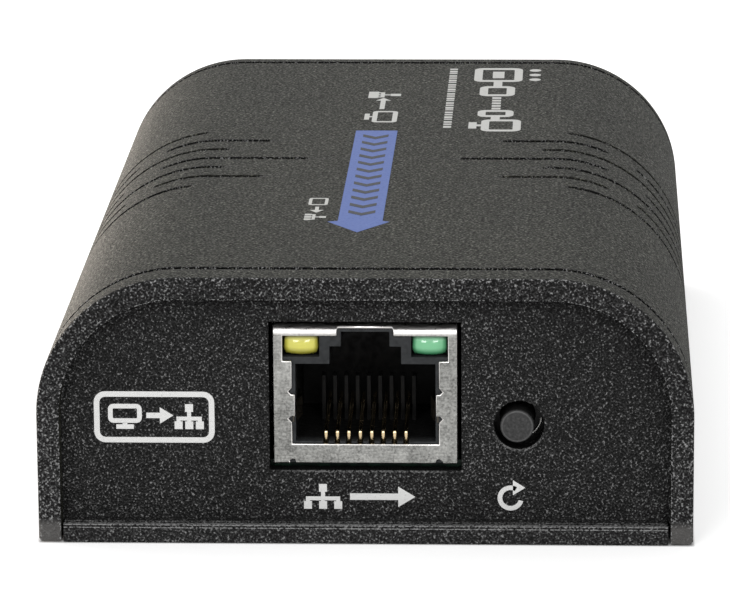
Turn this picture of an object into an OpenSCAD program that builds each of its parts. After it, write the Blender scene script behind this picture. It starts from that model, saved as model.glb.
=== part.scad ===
// Small network video sender: a moulded box around one circuit board.
// X runs to the right, Y from the network socket's end to the rear, Z up.
// The origin is on the ground, under the middle of the box.

/* [Case] */
// Width over the two side walls
case_w = 58; // [54:0.5:70]
// Length from rim to rim
case_l = 94; // [90:0.5:120]
// Height from the ground to the flat top
case_h = 24.2; // [23.6:0.1:30]
// Radius of the round shoulders
shoulder_r = 12.6; // [8:0.1:13]
// Thickness of the shell's walls
wall = 2; // [1.8:0.1:2.6]
// Depth of the recess in front of each end panel
recess = 2; // [1.5:0.1:3]
// Distance of the side walls' feet from the ground
side_lift = 0.1; // [0.05:0.05:0.4]

/* [Lines and grooves] */
// Distance of the front line from the front rim
front_line_y = 3.65; // [2.5:0.05:8]
// Distance of the rear line from the rear rim
rear_line_y = 2.04; // [1.5:0.05:8]
// Width of each line round the shell
line_w = 0.75; // [0.2:0.05:0.9]
// Depth of each line round the shell
line_d = 0.25; // [0.1:0.05:0.3]
// Distance from one shoulder groove to the next
groove_pitch = 3.82; // [2.5:0.02:5]
// Width of a shoulder groove
groove_w = 0.8; // [0.3:0.02:1]
// Depth of a shoulder groove
groove_d = 0.35; // [0.2:0.05:0.6]
// Number of grooves on each side of the middle one
groove_pairs = 3; // [1:1:3]

/* [Bottom cover] */
// Thickness of the cover's floor
floor_t = 1.2; // [1:0.1:1.8]
// Height of the lip at each end of the cover
lip_h = 1.66; // [1.4:0.02:2]
// Thickness of the lip
lip_t = 0.6; // [0.4:0.1:1]
// Gap between the cover and the side walls
cover_gap = 0.22; // [0.1:0.02:0.4]
// Height of the cover's side ribs
rib_h = 4.2; // [3:0.1:4.6]
// Thickness of the cover's side ribs
rib_t = 1.1; // [0.8:0.1:1.4]
// Number of ventilation slots on each side
vent_count = 9; // [3:1:11]
// Width of a ventilation slot
vent_w = 1.4; // [1:0.1:1.8]
// Length of a ventilation slot
vent_l = 12; // [6:0.5:14]

/* [End panels] */
// Thickness of the end panels
panel_t = 1.6; // [1.2:0.1:2]
// How far a panel's edge goes into the shell's slot
panel_bite = 0.7; // [0.4:0.05:0.8]
// Play of a panel in its slot
panel_play = 0.06; // [0.04:0.01:0.1]
// How far the foot strip under a panel stands forward
foot_strip = 1.15; // [0.6:0.05:1.25]
// Height of the foot strip's top over the ground
foot_strip_z = 1.76; // [1.7:0.02:2.2]

/* [Circuit board] */
// Height of the board's top face
board_z = 6.65; // [6.5:0.05:7.5]
// Thickness of the board
board_t = 1.6; // [1.2:0.1:1.6]
// Width of the board
board_w = 50; // [49:0.5:51]
// Gap from the board's ends to the panels
board_gap = 0.3; // [0.2:0.05:0.6]
// Sideways distance of the case screws from the middle
post_x = 22.8; // [22.4:0.1:23]
// Distance of the case screws from the rims, along the box
post_y = 13; // [12:0.5:14]
// Radius of the screw posts
post_r = 2.6; // [2.4:0.1:2.8]
// Sideways distance of the board screws from the middle
board_screw_x = 21; // [20:0.5:21.5]
// Distance of the board screws from the rims, along the box
board_screw_y = 22; // [21:0.5:23]

/* [Screws] */
// Radius of a case screw's shank
case_shank_r = 1.1; // [0.9:0.05:1.2]
// Length of a case screw's shank
case_shank_l = 8; // [6:0.5:10]
// Radius of a case screw's head
case_head_r = 2; // [1.7:0.1:2.1]
// Height of a case screw's head
case_head_h = 1.5; // [1:0.1:1.6]
// Radius of a board screw's shank
board_shank_r = 1; // [0.8:0.05:1.1]
// Length of a board screw's shank
board_shank_l = 4.6; // [4:0.1:5]
// Radius of a board screw's head
board_head_r = 1.9; // [1.6:0.1:2.2]
// Height of a board screw's head
board_head_h = 1.2; // [0.8:0.1:1.6]
// Play between a screw and its hole
screw_play = 0.06; // [0.03:0.01:0.1]

/* [Network socket] */
// Width of the shield
lan_w = 16.3; // [16.1:0.1:16.6]
// Height of the shield
lan_h = 12.6; // [12.4:0.1:12.7]
// Depth of the shield
lan_l = 16; // [15.6:0.2:18]
// Thickness of the shield's sheet
lan_sheet = 0.25; // [0.2:0.05:0.3]
// How far the shield's face lies behind the panel's face
lan_set_back = 0.5; // [0.2:0.1:0.8]
// Width of the plug's way in
lan_bay_w = 12.4; // [12:0.1:12.6]
// Height of the plug's way in, below the latch steps
lan_bay_h = 7.1; // [6.9:0.1:7.2]
// Depth of the plug's way in
lan_bay_l = 12.4; // [11.6:0.1:12.6]
// Distance between two contact wires
lan_pitch = 1.016; // [1:0.004:1.03]
// Thickness of a contact wire
lan_wire = 0.34; // [0.3:0.02:0.4]
// Width of each socket light
lamp_w = 3.1; // [2.8:0.1:3.1]
// Height of each socket light
lamp_h = 1.9; // [1.7:0.1:1.9]
// Width of the panel's cut-out for the socket
lan_cut_w = 17; // [16.9:0.1:17.6]
// Height of the panel's cut-out for the socket
lan_cut_h = 13.6; // [13.4:0.1:14]

/* [Reset switch] */
// Sideways place of the reset hole
reset_x = 13.6; // [13.2:0.1:16]
// Height of the reset hole's middle
reset_z = 10.4; // [10.3:0.1:11]
// Radius of the reset hole
reset_hole_r = 2.21; // [1.9:0.05:2.5]
// Radius of the button
button_r = 1.5; // [1.3:0.05:1.6]
// Running play between the button and its plate
button_play = 0.05; // [0.03:0.01:0.08]
// Travel of the button
button_travel = 0.25; // [0.2:0.01:0.35]
// How far the button's face stands out from the panel's face
button_proud = 0.1; // [0:0.05:0.6]
// Width and height of the switch
switch_w = 6; // [5.6:0.1:6.2]
// Depth of the switch's plastic body
switch_l = 3.3; // [3:0.1:4]
// Thickness of the switch's metal frame
switch_sheet = 0.3; // [0.2:0.05:0.4]

/* [Video socket] */
// Sideways place of the video socket
video_x = 8.5; // [8:0.1:9]
// Width of the video socket's shell
video_w = 14.9; // [14.6:0.1:15]
// Height of the video socket's shell
video_h = 5.4; // [5.2:0.1:5.6]
// Depth of the video socket's shell
video_l = 11.8; // [10:0.1:12]
// Thickness of its sheet
video_sheet = 0.3; // [0.2:0.05:0.3]
// Distance between two contacts on one side of the tongue
video_pitch = 1; // [0.9:0.02:1.02]

/* [Power jack] */
// Sideways place of the power jack
power_x = -14.5; // [-15:0.1:-14]
// Radius of the bore that takes the plug
power_bore_r = 3.2; // [3:0.05:3.3]
// Radius of the centre pin
power_pin_r = 1.05; // [0.8:0.05:1.1]
// Depth of the bore
power_bore_l = 9.5; // [8:0.5:10]
// Width of the jack
power_w = 9; // [8.8:0.1:9.2]
// Height of the jack
power_h = 11; // [10.6:0.1:11.4]
// Depth of the jack behind the panel's face
power_l = 14; // [13:0.1:14.4]

/* [Infra-red jack] */
// Sideways place of the jack
ir_x = -4.5; // [-5:0.1:-4]
// Radius of its bore
ir_bore_r = 1.8; // [1.7:0.05:1.9]
// Depth of its bore
ir_bore_l = 12; // [10:0.5:12.5]
// Width of the jack
ir_w = 6; // [5.8:0.1:6.4]
// Height of the jack
ir_h = 5.6; // [5.4:0.1:6]
// Radius of the collar that fills the panel's hole
ir_collar_r = 2.9; // [2.6:0.05:2.9]

/* [Rear lights] */
// Radius of a light's lens
light_r = 1.5; // [1.3:0.05:1.6]
// Sideways place of the power light
power_light_x = 18.6; // [18.4:0.1:18.8]
// Sideways place of the link light
link_light_x = 22.3; // [22.2:0.1:22.4]
// Height of the lights
light_z = 10; // [9.6:0.1:10.6]

/* [Chips] */
// Width of the processor
processor_w = 19; // [17:0.5:20]
// Height of the processor
processor_h = 1.8; // [1.4:0.1:2.2]
// Thickness of the thermal pad
pad_t = 0.5; // [0.3:0.1:1]
// Width of the heat sink
sink_w = 21; // [19:0.5:21.5]
// Height of the heat sink
sink_h = 7; // [5:0.5:8]
// Number of the heat sink's fins
fin_count = 8; // [5:1:9]
// Width of the video receiver
receiver_w = 13; // [11:0.5:13.5]
// Width of the network chip
phy_w = 8; // [7:0.5:8.5]
// Width of the memory chip
memory_w = 9; // [8:0.5:9.5]
// Length of the memory chip
memory_l = 20; // [18:0.5:20.5]
// Height of the flat chips
chip_h = 1.2; // [1:0.1:1.6]
// Width of the network transformer
magnetics_w = 12.6; // [11:0.2:13]
// Depth of the network transformer
magnetics_l = 9.4; // [8:0.2:9.6]
// Height of the network transformer
magnetics_h = 5.8; // [4:0.2:6.2]
// Radius of an electrolytic capacitor
can_r = 3; // [2.5:0.1:3.1]
// Height of an electrolytic capacitor
can_h = 7.4; // [5:0.2:8]
// Width of an inductor
coil_w = 6.4; // [5:0.2:6.6]
// Height of an inductor
coil_h = 3.6; // [2.5:0.1:4.2]

/* [Hidden] */
$fn = 64;

// Overrun of every cut past the faces that it goes through
over = 1;
// Seating gap between pieces that touch without pressing
seat = 0.04;

// Ends of the case and of what stands behind them
front_y = -case_l / 2;
rear_y = case_l / 2;
panel_face_y = rear_y - recess;
panel_back_y = panel_face_y - panel_t;
board_end_y = panel_back_y - board_gap;
inner_half_w = case_w / 2 - wall;

// Rows of screws, measured from the middle of the box
post_row_y = rear_y - post_y;
board_screw_row_y = rear_y - board_screw_y;

// Shell posts and cover posts meet at this height
post_meet_z = board_z - board_t - seat;
post_wall = post_r - case_shank_r;
head_seat_t = 1;
head_floor_z = post_meet_z - head_seat_t;
cover_post_r = case_head_r + screw_play + 0.5 * post_wall;

// Shoulder grooves, counted from the middle one outwards: where each starts on the top,
// as a share of half the width; where the even ones stop and start again round the
// shoulder, in degrees from the top; and where each ends, as a share of the height
groove_start_shares = [0.255, 0.526, 0.391, 0.614];
groove_stop_deg = 24.5;
groove_again_degs = [44.7, 0, 39, 0];
groove_end_shares = [0.42, 0.3, 0.42, 0.5];

// Network socket, as seen from the front. Heights are over the board
lan_face_y = panel_face_y - lan_set_back;
lan_z0 = board_z + seat;
lan_z1 = lan_z0 + lan_h;
lan_side_w = 1.65;
lan_bottom_h = 1.75;
lan_top_h = 0.95;
lan_ear_h = 2.3;
lan_ear_w = 0.82;
lan_notch_w = 5;
lan_fold_h = 0.14;
lan_tab_w = 0.26;
lan_tab_h = 2;
lan_tab_z = 5.3;
lan_nick_w = 0.46;
lan_nick_h = 0.5;
lan_foot_nick_r = 0.33;
lan_peg_l = 2.2;
lan_peg_y = 9;
lan_window_half = lan_w / 2 - lan_side_w;
lan_insert_half = lan_w / 2 - lan_sheet - seat;
lan_insert_y = lan_face_y - lan_sheet - seat;
lan_insert_top = lan_z1 - lan_sheet - seat;
lan_bay_z = lan_z0 + 1.1 * lan_bottom_h;
lan_step_w = 6.32;
lan_step_h = 1.6;
lan_latch_w = 4.27;
lan_latch_h = 1.35;
lan_wires = 8;
lan_wire_rise = 1.3;
lan_wire_l = 8.6;
lan_wire_z = lan_bay_z + 1.5 * lan_wire;
lan_comb_l = 1.5;
lan_comb_h = 4.1;
lan_comb_t = 0.38;
lamp_z = lan_z1 - lan_top_h - lamp_h;
lamp_play = 0.08;
lamp_x = lan_window_half + lan_ear_w - lamp_w / 2 - lamp_play;
lamp_l = 5;
lamp_lip_r = 0.5;

// Reset switch
button_off_x = 0.18;
button_x = reset_x - button_off_x;
button_z = reset_z - 0.5 * button_off_x;
switch_set_back = 2.5;
switch_y = panel_back_y - switch_set_back;
flange_t = 0.6;
flange_step = 0.7;
flange_r = button_r + flange_step;
flange_play = 0.2;
nub_r = 0.8;
nub_l = 0.6;
dome_rise = 3.2 * button_travel;
dome_t = 0.1;
cavity_r = flange_r + flange_play;
cavity_l = flange_t + nub_l + dome_rise + seat;
dome_r = cavity_r - flange_play;
dome_sphere_r = (dome_r * dome_r + dome_rise * dome_rise) / (2 * dome_rise);
terminal_w = 0.8;
terminal_t = 0.3;
cheek_l = 2.6;

// Video socket
video_z = board_z + seat;
video_step = 0.35 * video_h;
video_slope = 1.9;
tongue_t = 0.9;
tongue_w = 11.4;
tongue_z = 0.56 * video_h;
tongue_root_l = 0.2 * video_l;
tongue_back_y = panel_face_y - video_l + video_sheet + seat;
tongue_root_y = tongue_back_y + tongue_root_l;
tongue_reach = 8;
contact_w = 0.42;
contact_t = 0.12;
video_top_row = 10;
video_low_row = 9;

// Power jack, infra-red jack and lights
power_z = board_z + 0.55 * power_h;
power_collar_r = 0.46 * power_w;
power_root_r = 0.8 * power_pin_r;
spring_w = 2;
spring_t = 0.35;
spring_l = 6;
ir_z = board_z + seat + 0.5 * ir_h;
ir_back_t = 0.8;
ir_l = ir_bore_l + ir_back_t;
ir_contact_w = 1.4;
ir_contact_t = 0.25;
ir_contact_l = 2.4;
light_l = 6.2;
light_flange_step = 0.25;
light_flange_r = light_r + light_flange_step;
light_flange_t = 0.8;
light_leg_w = 0.5;
light_leg_gap = 1.3;
hole_play = 0.15;

// Places of the chips in the middle of the board, as shares of half its width and half
// its length
processor_shares = [0, 0.03];
memory_shares = [0.72, 0.05];
flash_shares = [-0.64, 0.14];
crystal_shares = [-0.72, -0.12];
regulator_shares = [[0.8, 0.41], [-0.85, -0.33]];

// Chips in the row behind the network socket and in the rows before the rear sockets. Only
// their places across the board are shares, of half its width
phy_share = -0.56;
front_crystal_share = 0.56;
can_shares = [-0.8, -0.5, -0.16];
coil_shares = [-0.53, -0.2];
front_row_gap = 2.25;
front_row_y = -lan_face_y + lan_l + front_row_gap;
phy_place = [phy_share * board_w / 2, front_row_y + phy_w / 2];
receiver_gap = 3.3;
receiver_place = [video_x, panel_face_y - video_l - receiver_gap - receiver_w / 2];
coil_gap = 1.1;
coil_y = panel_face_y - power_l - coil_gap - coil_w / 2;
can_gap = 0.55;
can_y = coil_y - coil_w / 2 - can_gap - can_r;
flash_w = 5;
flash_l = 6;
crystal_w = 4.4;
crystal_l = 10.6;
crystal_h = 3.4;
regulator_w = 6.4;
regulator_l = 3.4;
regulator_h = 1.6;
base_h = 1;
chip_cap_w = 1.6;
chip_cap_l = 0.8;
chip_cap_h = 0.7;
lead_w = 0.3;
lead_l = 1;
lead_t = 0.2;
lead_pitch = 1;
leg_h = 0.35;

// Point on the board, from shares of half its width and half its length
function board_point(shares) = [shares[0] * board_w / 2, shares[1] * board_end_y];

module along_y(y0, y1) {
    translate([0, y1, 0]) rotate([90, 0, 0]) linear_extrude(y1 - y0) children();
}

module box(low, high) {
    translate(low) cube(high - low);
}

// A box that is centred on x and y and stands on z
module block(x, y, z, w, l, h) {
    translate([x - w / 2, y - l / 2, z]) cube([w, l, h]);
}

// Outline of the shell, drawn in by an inset, from a given height upwards
module shell_outline(inset, from_z) {
    half = case_w / 2 - inset;
    top = case_h - inset;
    r = shoulder_r - inset;
    translate([-half, from_z]) square([2 * half, top - r - from_z]);
    translate([r - half, from_z]) square([2 * (half - r), top - from_z]);
    intersection() {
        for (side = [-1, 1]) translate([side * (half - r), top - r]) circle(r);
        translate([-half, from_z]) square([2 * half, top - from_z]);
    }
}

// A thin skin of the shell, from its surface down to a depth
module shell_skin(depth) {
    difference() {
        shell_outline(-over, -over);
        shell_outline(depth, -2 * over);
    }
}

// The parts of the shell's outline that groove n runs over, on the right side
module groove_window(n) {
    start = groove_start_shares[n] * case_w / 2;
    end = groove_end_shares[n] * case_h;
    middle = [case_w / 2 - shoulder_r, case_h - shoulder_r];
    outer = case_w / 2 + 2 * over;
    if (groove_again_degs[n] == 0)
        translate([start, end]) square([outer - start, case_h + 2 * over - end]);
    else {
        stop = middle[0] + shoulder_r * sin(groove_stop_deg);
        again = middle[1] + shoulder_r * cos(groove_again_degs[n]);
        translate([start, case_h / 2]) square([stop - start, case_h]);
        translate([case_w / 4, end]) square([outer, again - end]);
    }
}

module shoulder_groove(n, y) {
    along_y(y - groove_w / 2, y + groove_w / 2) intersection() {
        shell_skin(groove_d);
        for (turn = [0, 1]) mirror([turn, 0]) groove_window(n);
    }
}

module at_posts() {
    for (x = [-post_x, post_x], y = [-post_row_y, post_row_y]) translate([x, y, 0]) children();
}

module at_board_screws() {
    for (x = [-board_screw_x, board_screw_x], y = [-board_screw_row_y, board_screw_row_y])
        translate([x, y, 0]) children();
}

// Shell, with the slots that hold the two panels
module top_shell() {
    color("#3a3a39") difference() {
        union() {
            difference() {
                along_y(front_y, rear_y) shell_outline(0, side_lift);
                along_y(front_y - over, rear_y + over) shell_outline(wall, -over);
            }
            intersection() {
                along_y(front_y, rear_y) shell_outline(wall / 2, 0);
                at_posts() translate([0, 0, post_meet_z]) cylinder(r = post_r, h = case_h);
            }
        }
        for (turn = [0, 1]) mirror([0, turn, 0])
            along_y(panel_back_y - panel_play, panel_face_y + panel_play)
                shell_outline(wall - panel_bite - panel_play, -over);
        along_y(front_y + front_line_y - line_w / 2, front_y + front_line_y + line_w / 2)
            shell_skin(line_d);
        along_y(rear_y - rear_line_y - line_w / 2, rear_y - rear_line_y + line_w / 2)
            shell_skin(line_d);
        for (i = [-groove_pairs : groove_pairs]) shoulder_groove(abs(i), i * groove_pitch);
        at_posts() translate([0, 0, post_meet_z - over])
            cylinder(r = case_shank_r + screw_play, h = over + case_shank_l);
    }
}

// Floor with a lip at each end, side ribs, screw posts and board posts
module bottom_cover() {
    half = inner_half_w - cover_gap;
    vent_pitch = vent_w + 1.1 * vent_w;
    color("#2b2b2b") difference() {
        union() {
            box([-half, front_y, 0], [half, rear_y, floor_t]);
            for (turn = [0, 1]) mirror([0, turn, 0])
                box([-half, front_y, 0], [half, front_y + lip_t, lip_h]);
            for (turn = [0, 1]) mirror([turn, 0, 0])
                box([half - rib_t, -panel_back_y + over, 0], [half, panel_back_y - over, rib_h]);
            at_posts() cylinder(r = cover_post_r, h = post_meet_z);
            at_board_screws() cylinder(r = post_r, h = board_z - board_t);
        }
        at_posts() {
            translate([0, 0, -over]) cylinder(r = case_head_r + screw_play, h = over + head_floor_z);
            translate([0, 0, -over]) cylinder(r = case_shank_r + screw_play, h = 2 * over + board_z);
        }
        at_board_screws() translate([0, 0, board_z - board_shank_l])
            cylinder(r = board_shank_r + screw_play, h = board_shank_l);
        for (x = [-0.25, 0.25], i = [0 : vent_count - 1])
            block(x * case_w, (i - (vent_count - 1) / 2) * vent_pitch, -over,
                vent_l, vent_w, floor_t + 2 * over);
    }
}

// Panel that stands in the shell's slot, with a foot strip at its lower edge
module panel_plate() {
    along_y(panel_back_y, panel_face_y) shell_outline(wall - panel_bite, floor_t);
    box([-inner_half_w + cover_gap, panel_back_y, floor_t],
        [inner_half_w - cover_gap, panel_face_y + foot_strip, foot_strip_z]);
}

module front_panel() {
    lan_middle_z = lan_z0 + lan_h / 2 - seat;
    color("#262628") difference() {
        mirror([0, 1, 0]) panel_plate();
        along_y(-panel_face_y - over, -panel_back_y + over) {
            translate([-lan_cut_w / 2, lan_middle_z - lan_cut_h / 2])
                square([lan_cut_w, lan_cut_h]);
            translate([reset_x, reset_z]) circle(reset_hole_r);
        }
    }
}

module rear_panel() {
    color("#262628") difference() {
        panel_plate();
        along_y(panel_back_y - over, panel_face_y + over) {
            translate([video_x, video_z]) video_outline(-hole_play);
            translate([power_x, power_z]) circle(power_collar_r + hole_play);
            translate([ir_x, ir_z]) circle(ir_collar_r + hole_play);
            for (x = [power_light_x, link_light_x])
                translate([x, light_z]) circle(light_r + hole_play / 2);
        }
    }
}

// A screw with a cross recess, its head under the seat at the origin
module screw(shank_r, shank_l, head_r, head_h) {
    slot_w = 0.3 * head_r;
    difference() {
        union() {
            cylinder(r = shank_r, h = shank_l);
            translate([0, 0, -head_h]) cylinder(r = head_r, h = head_h);
        }
        for (a = [0, 90]) rotate([0, 0, a])
            block(0, 0, -head_h - over, 1.2 * head_r, slot_w, over + 0.5 * head_h);
    }
}

module cover_screws() {
    color("silver") at_posts() translate([0, 0, head_floor_z])
        screw(case_shank_r, case_shank_l, case_head_r, case_head_h);
}

module board_screws() {
    color("silver") at_board_screws() translate([0, 0, board_z]) mirror([0, 0, 1])
        screw(board_shank_r, board_shank_l - seat, board_head_r, board_head_h);
}

module main_board() {
    notch = post_r + 4 * hole_play;
    color("#1f5d3a") difference() {
        box([-board_w / 2, -board_end_y, board_z - board_t], [board_w / 2, board_end_y, board_z]);
        for (x = [-1, 1], y = [-post_row_y, post_row_y])
            translate([x * post_x, y, 0]) mirror([x < 0 ? 1 : 0, 0, 0])
                box([-notch, -notch, 0], [board_w, notch, board_z + over]);
        at_board_screws() cylinder(r = board_shank_r + screw_play, h = board_z + over);
        for (turn = [0, 1]) mirror([turn, 0, 0]) lan_peg(hole_play / 2);
        for (turn = [-1, 1]) translate([button_x + turn * (switch_w + switch_sheet) / 2, 0, 0])
            switch_leg(hole_play / 2);
    }
}

// Solder peg of the network socket's shield, on the right side, grown by some play
module lan_peg(play) {
    y = -lan_face_y + lan_peg_y;
    box([lan_w / 2 - lan_sheet - play, y - play, board_z - board_t - over / 2],
        [lan_w / 2 + play, y + lan_peg_l + play, lan_z0 + over]);
}

// Front of the shield, as seen from the front
module lan_face() {
    r_low = lan_z0 + lan_bottom_h;
    difference() {
        translate([-lan_w / 2, lan_z0]) square([lan_w, lan_h]);
        translate([-lan_window_half, r_low])
            square([2 * lan_window_half, lan_h - lan_bottom_h - lan_top_h]);
        translate([-lan_window_half - lan_ear_w, lan_z1 - lan_top_h - lan_ear_h])
            square([2 * (lan_window_half + lan_ear_w), lan_ear_h]);
        translate([-lan_notch_w / 2, lan_z1 - lan_top_h - lan_ear_h])
            square([lan_notch_w, lan_ear_h + lan_top_h - lan_fold_h]);
        for (turn = [-1, 1]) {
            for (edge = [-1, 1]) translate([turn * lan_window_half,
                lan_z0 + lan_tab_z + edge * (lan_tab_h + lan_nick_h) / 2]) rotate(45)
                square(lan_nick_h * sqrt(2) / 2 + lan_nick_w / 4, center = true);
            translate([turn * lan_window_half, lan_z0]) circle(lan_foot_nick_r);
        }
    }
    for (turn = [0, 1]) mirror([turn, 0])
        translate([lan_window_half - lan_tab_w, lan_z0 + lan_tab_z - lan_tab_h / 2])
            square([2 * lan_tab_w, lan_tab_h]);
}

module lan_shield() {
    color("#b9b9b4") union() {
        along_y(-lan_face_y, -lan_face_y + lan_sheet) lan_face();
        difference() {
            box([-lan_w / 2, -lan_face_y, lan_z0], [lan_w / 2, -lan_face_y + lan_l, lan_z1]);
            box([-lan_w / 2 + lan_sheet, -lan_face_y - over, lan_z0 - over],
                [lan_w / 2 - lan_sheet, -lan_face_y + lan_l - lan_sheet, lan_z1 - lan_sheet]);
        }
        for (turn = [0, 1]) mirror([turn, 0, 0]) lan_peg(0);
    }
}

// Where the plug and its latch go, as seen from the front
module lan_bay_outline() {
    translate([-lan_bay_w / 2, lan_bay_z]) square([lan_bay_w, lan_bay_h]);
    translate([-lan_step_w / 2, lan_bay_z]) square([lan_step_w, lan_bay_h + lan_step_h]);
    translate([-lan_latch_w / 2, lan_bay_z])
        square([lan_latch_w, lan_bay_h + lan_step_h + lan_latch_h]);
}

module lan_insert() {
    y0 = -lan_insert_y;
    y1 = -lan_face_y + lan_l - lan_sheet - seat;
    comb_y = y0 + lan_wire_l - lan_comb_l / 2;
    color("#1c1c1e") {
        difference() {
            box([-lan_insert_half, y0, lan_z0], [lan_insert_half, y1, lan_insert_top]);
            along_y(y0 - over, y0 + lan_bay_l) lan_bay_outline();
            for (turn = [0, 1]) mirror([turn, 0, 0])
                box([lamp_x - lamp_w / 2 - lamp_play, y0 - over, lamp_z - lamp_play],
                    [lamp_x + lamp_w / 2 + lamp_play, y0 + lamp_l + lamp_play,
                     lamp_z + lamp_h + lamp_play]);
            for (i = [0 : lan_wires - 1]) translate([(i - (lan_wires - 1) / 2) * lan_pitch, 0, 0])
                lan_wire_way(y0);
        }
        for (i = [0 : lan_wires]) block((i - lan_wires / 2) * lan_pitch, comb_y, lan_bay_z - seat,
            lan_comb_t, lan_comb_l, lan_comb_h + seat);
    }
}

// Groove in the socket's floor that a contact wire comes out of
module lan_wire_way(y0) {
    block(0, y0 + 2 * lan_wire, lan_bay_z - 2 * lan_wire, lan_wire + 2 * lamp_play,
        6 * lan_wire, 2 * lan_wire + over);
}

// Contact wire: up from the floor near the mouth, then sloping up to the rear
module lan_contacts() {
    y0 = -lan_insert_y + 2 * lan_wire;
    low = lan_bay_z - 2 * lan_wire;
    rise = lan_wire_z + lan_wire_rise;
    color("#d9b45a") for (i = [0 : lan_wires - 1])
        translate([(i - (lan_wires - 1) / 2) * lan_pitch + lan_wire / 2, 0, 0])
            rotate([90, 0, -90]) linear_extrude(lan_wire) polygon([
                [-y0 - lan_wire, low], [-y0, low], [-y0, lan_wire_z + lan_wire / 2],
                [-y0 - lan_wire / 2, lan_wire_z + lan_wire],
                [-y0 - lan_wire_l + lan_wire, rise + lan_wire],
                [-y0 - lan_wire_l + lan_wire, rise],
                [-y0 - lan_wire, lan_wire_z]
            ]);
}

// Light of the network socket: a rod with rounded lower edges
module lan_lamp(x) {
    r = lamp_lip_r;
    along_y(-lan_insert_y, -lan_insert_y + lamp_l) translate([x - lamp_w / 2, lamp_z]) {
        translate([0, r]) square([lamp_w, lamp_h - r]);
        translate([r, 0]) square([lamp_w - 2 * r, lamp_h]);
        for (side = [r, lamp_w - r]) translate([side, r]) circle(r);
    }
}

module lan_lamp_yellow() {
    color("#d8d45a") lan_lamp(-lamp_x);
}

module lan_lamp_green() {
    color("#4fb07c") lan_lamp(lamp_x);
}

// Leg of the switch frame, centred on x = 0, grown by some play
module switch_leg(play) {
    block(0, -switch_y + cheek_l - terminal_w / 2, board_z - board_t - over / 2,
        switch_sheet + 2 * play, terminal_w + 2 * play, over + board_t + over / 2);
}

module reset_switch_frame() {
    half = switch_w / 2;
    top = button_z + half;
    color("#c4c4c0") {
        difference() {
            box([button_x - half - switch_sheet, -switch_y - switch_sheet, board_z + seat],
                [button_x + half + switch_sheet, -switch_y, top]);
            translate([button_x, -switch_y + over, button_z]) rotate([90, 0, 0])
                cylinder(r = button_r + button_play, h = switch_sheet + 2 * over);
        }
        for (turn = [-1, 1]) {
            x = button_x + turn * (half + switch_sheet / 2);
            box([x - switch_sheet / 2, -switch_y - switch_sheet, board_z + seat],
                [x + switch_sheet / 2, -switch_y + cheek_l, top]);
            translate([x, 0, 0]) switch_leg(0);
        }
    }
}

module reset_switch_body() {
    half = switch_w / 2;
    color("#202022") difference() {
        box([button_x - half, -switch_y, board_z + seat],
            [button_x + half, -switch_y + switch_l, button_z + half]);
        translate([button_x, -switch_y + cavity_l, button_z]) rotate([90, 0, 0])
            cylinder(r = cavity_r, h = cavity_l + over);
    }
}

module reset_switch_terminals() {
    color("#c9c9c6") for (turn = [-1, 1])
        block(button_x + turn * switch_w / 4, -switch_y + switch_l + terminal_t / 2, board_z,
            terminal_w, terminal_t, 0.5 * switch_w);
}

// Sprung metal cap behind the button, its rim on the cavity's floor
module reset_snap_dome() {
    centre_y = -switch_y + cavity_l + dome_sphere_r - dome_rise;
    color("#cfcfcc") intersection() {
        difference() {
            translate([button_x, centre_y, button_z]) sphere(dome_sphere_r);
            translate([button_x, centre_y, button_z]) sphere(dome_sphere_r - dome_t);
        }
        box([button_x - switch_w, -switch_y, button_z - switch_w],
            [button_x + switch_w, -switch_y + cavity_l, button_z + switch_w]);
    }
}

// Plunger with its face, its flange and the nub that presses the dome
module reset_button() {
    face_y = -panel_face_y - button_proud;
    color("#2a2a2c") translate([button_x, 0, button_z]) rotate([-90, 0, 0]) {
        translate([0, 0, face_y]) cylinder(r = button_r, h = -switch_y - face_y + flange_t / 2);
        translate([0, 0, -switch_y]) cylinder(r = flange_r, h = flange_t);
        translate([0, 0, -switch_y]) cylinder(r = nub_r, h = flange_t + nub_l);
    }
}

// Outline of the video socket, standing on z = 0, drawn in by an inset
module video_outline(inset) {
    half = video_w / 2 - inset;
    low_half = half - video_slope;
    polygon([
        [-low_half, inset], [low_half, inset], [low_half, inset + video_step / 2],
        [half, inset + video_step + video_step / 2], [half, video_h - inset],
        [-half, video_h - inset], [-half, inset + video_step + video_step / 2],
        [-low_half, inset + video_step / 2]
    ]);
}

module video_socket_shield() {
    color("#c9c9c4") translate([video_x, 0, video_z]) difference() {
        along_y(panel_face_y - video_l, panel_face_y) video_outline(0);
        along_y(panel_face_y - video_l + video_sheet, panel_face_y + over)
            video_outline(video_sheet);
    }
}

module video_socket_tongue() {
    color("#17171a") translate([video_x, 0, video_z]) {
        along_y(tongue_back_y, tongue_root_y) video_outline(video_sheet + seat);
        box([-tongue_w / 2, tongue_back_y, tongue_z - tongue_t / 2],
            [tongue_w / 2, tongue_root_y + tongue_reach, tongue_z + tongue_t / 2]);
    }
}

module video_socket_contacts() {
    y = tongue_root_y + tongue_reach / 2;
    color("#d9b45a") translate([video_x, 0, video_z]) {
        for (i = [0 : video_top_row - 1]) block((i - (video_top_row - 1) / 2) * video_pitch,
            y, tongue_z + tongue_t / 2, contact_w, tongue_reach - 2 * video_sheet, contact_t);
        for (i = [0 : video_low_row - 1]) block((i - (video_low_row - 1) / 2) * video_pitch,
            y, tongue_z - tongue_t / 2 - contact_t, contact_w,
            tongue_reach - 2 * video_sheet, contact_t);
    }
}

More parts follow.
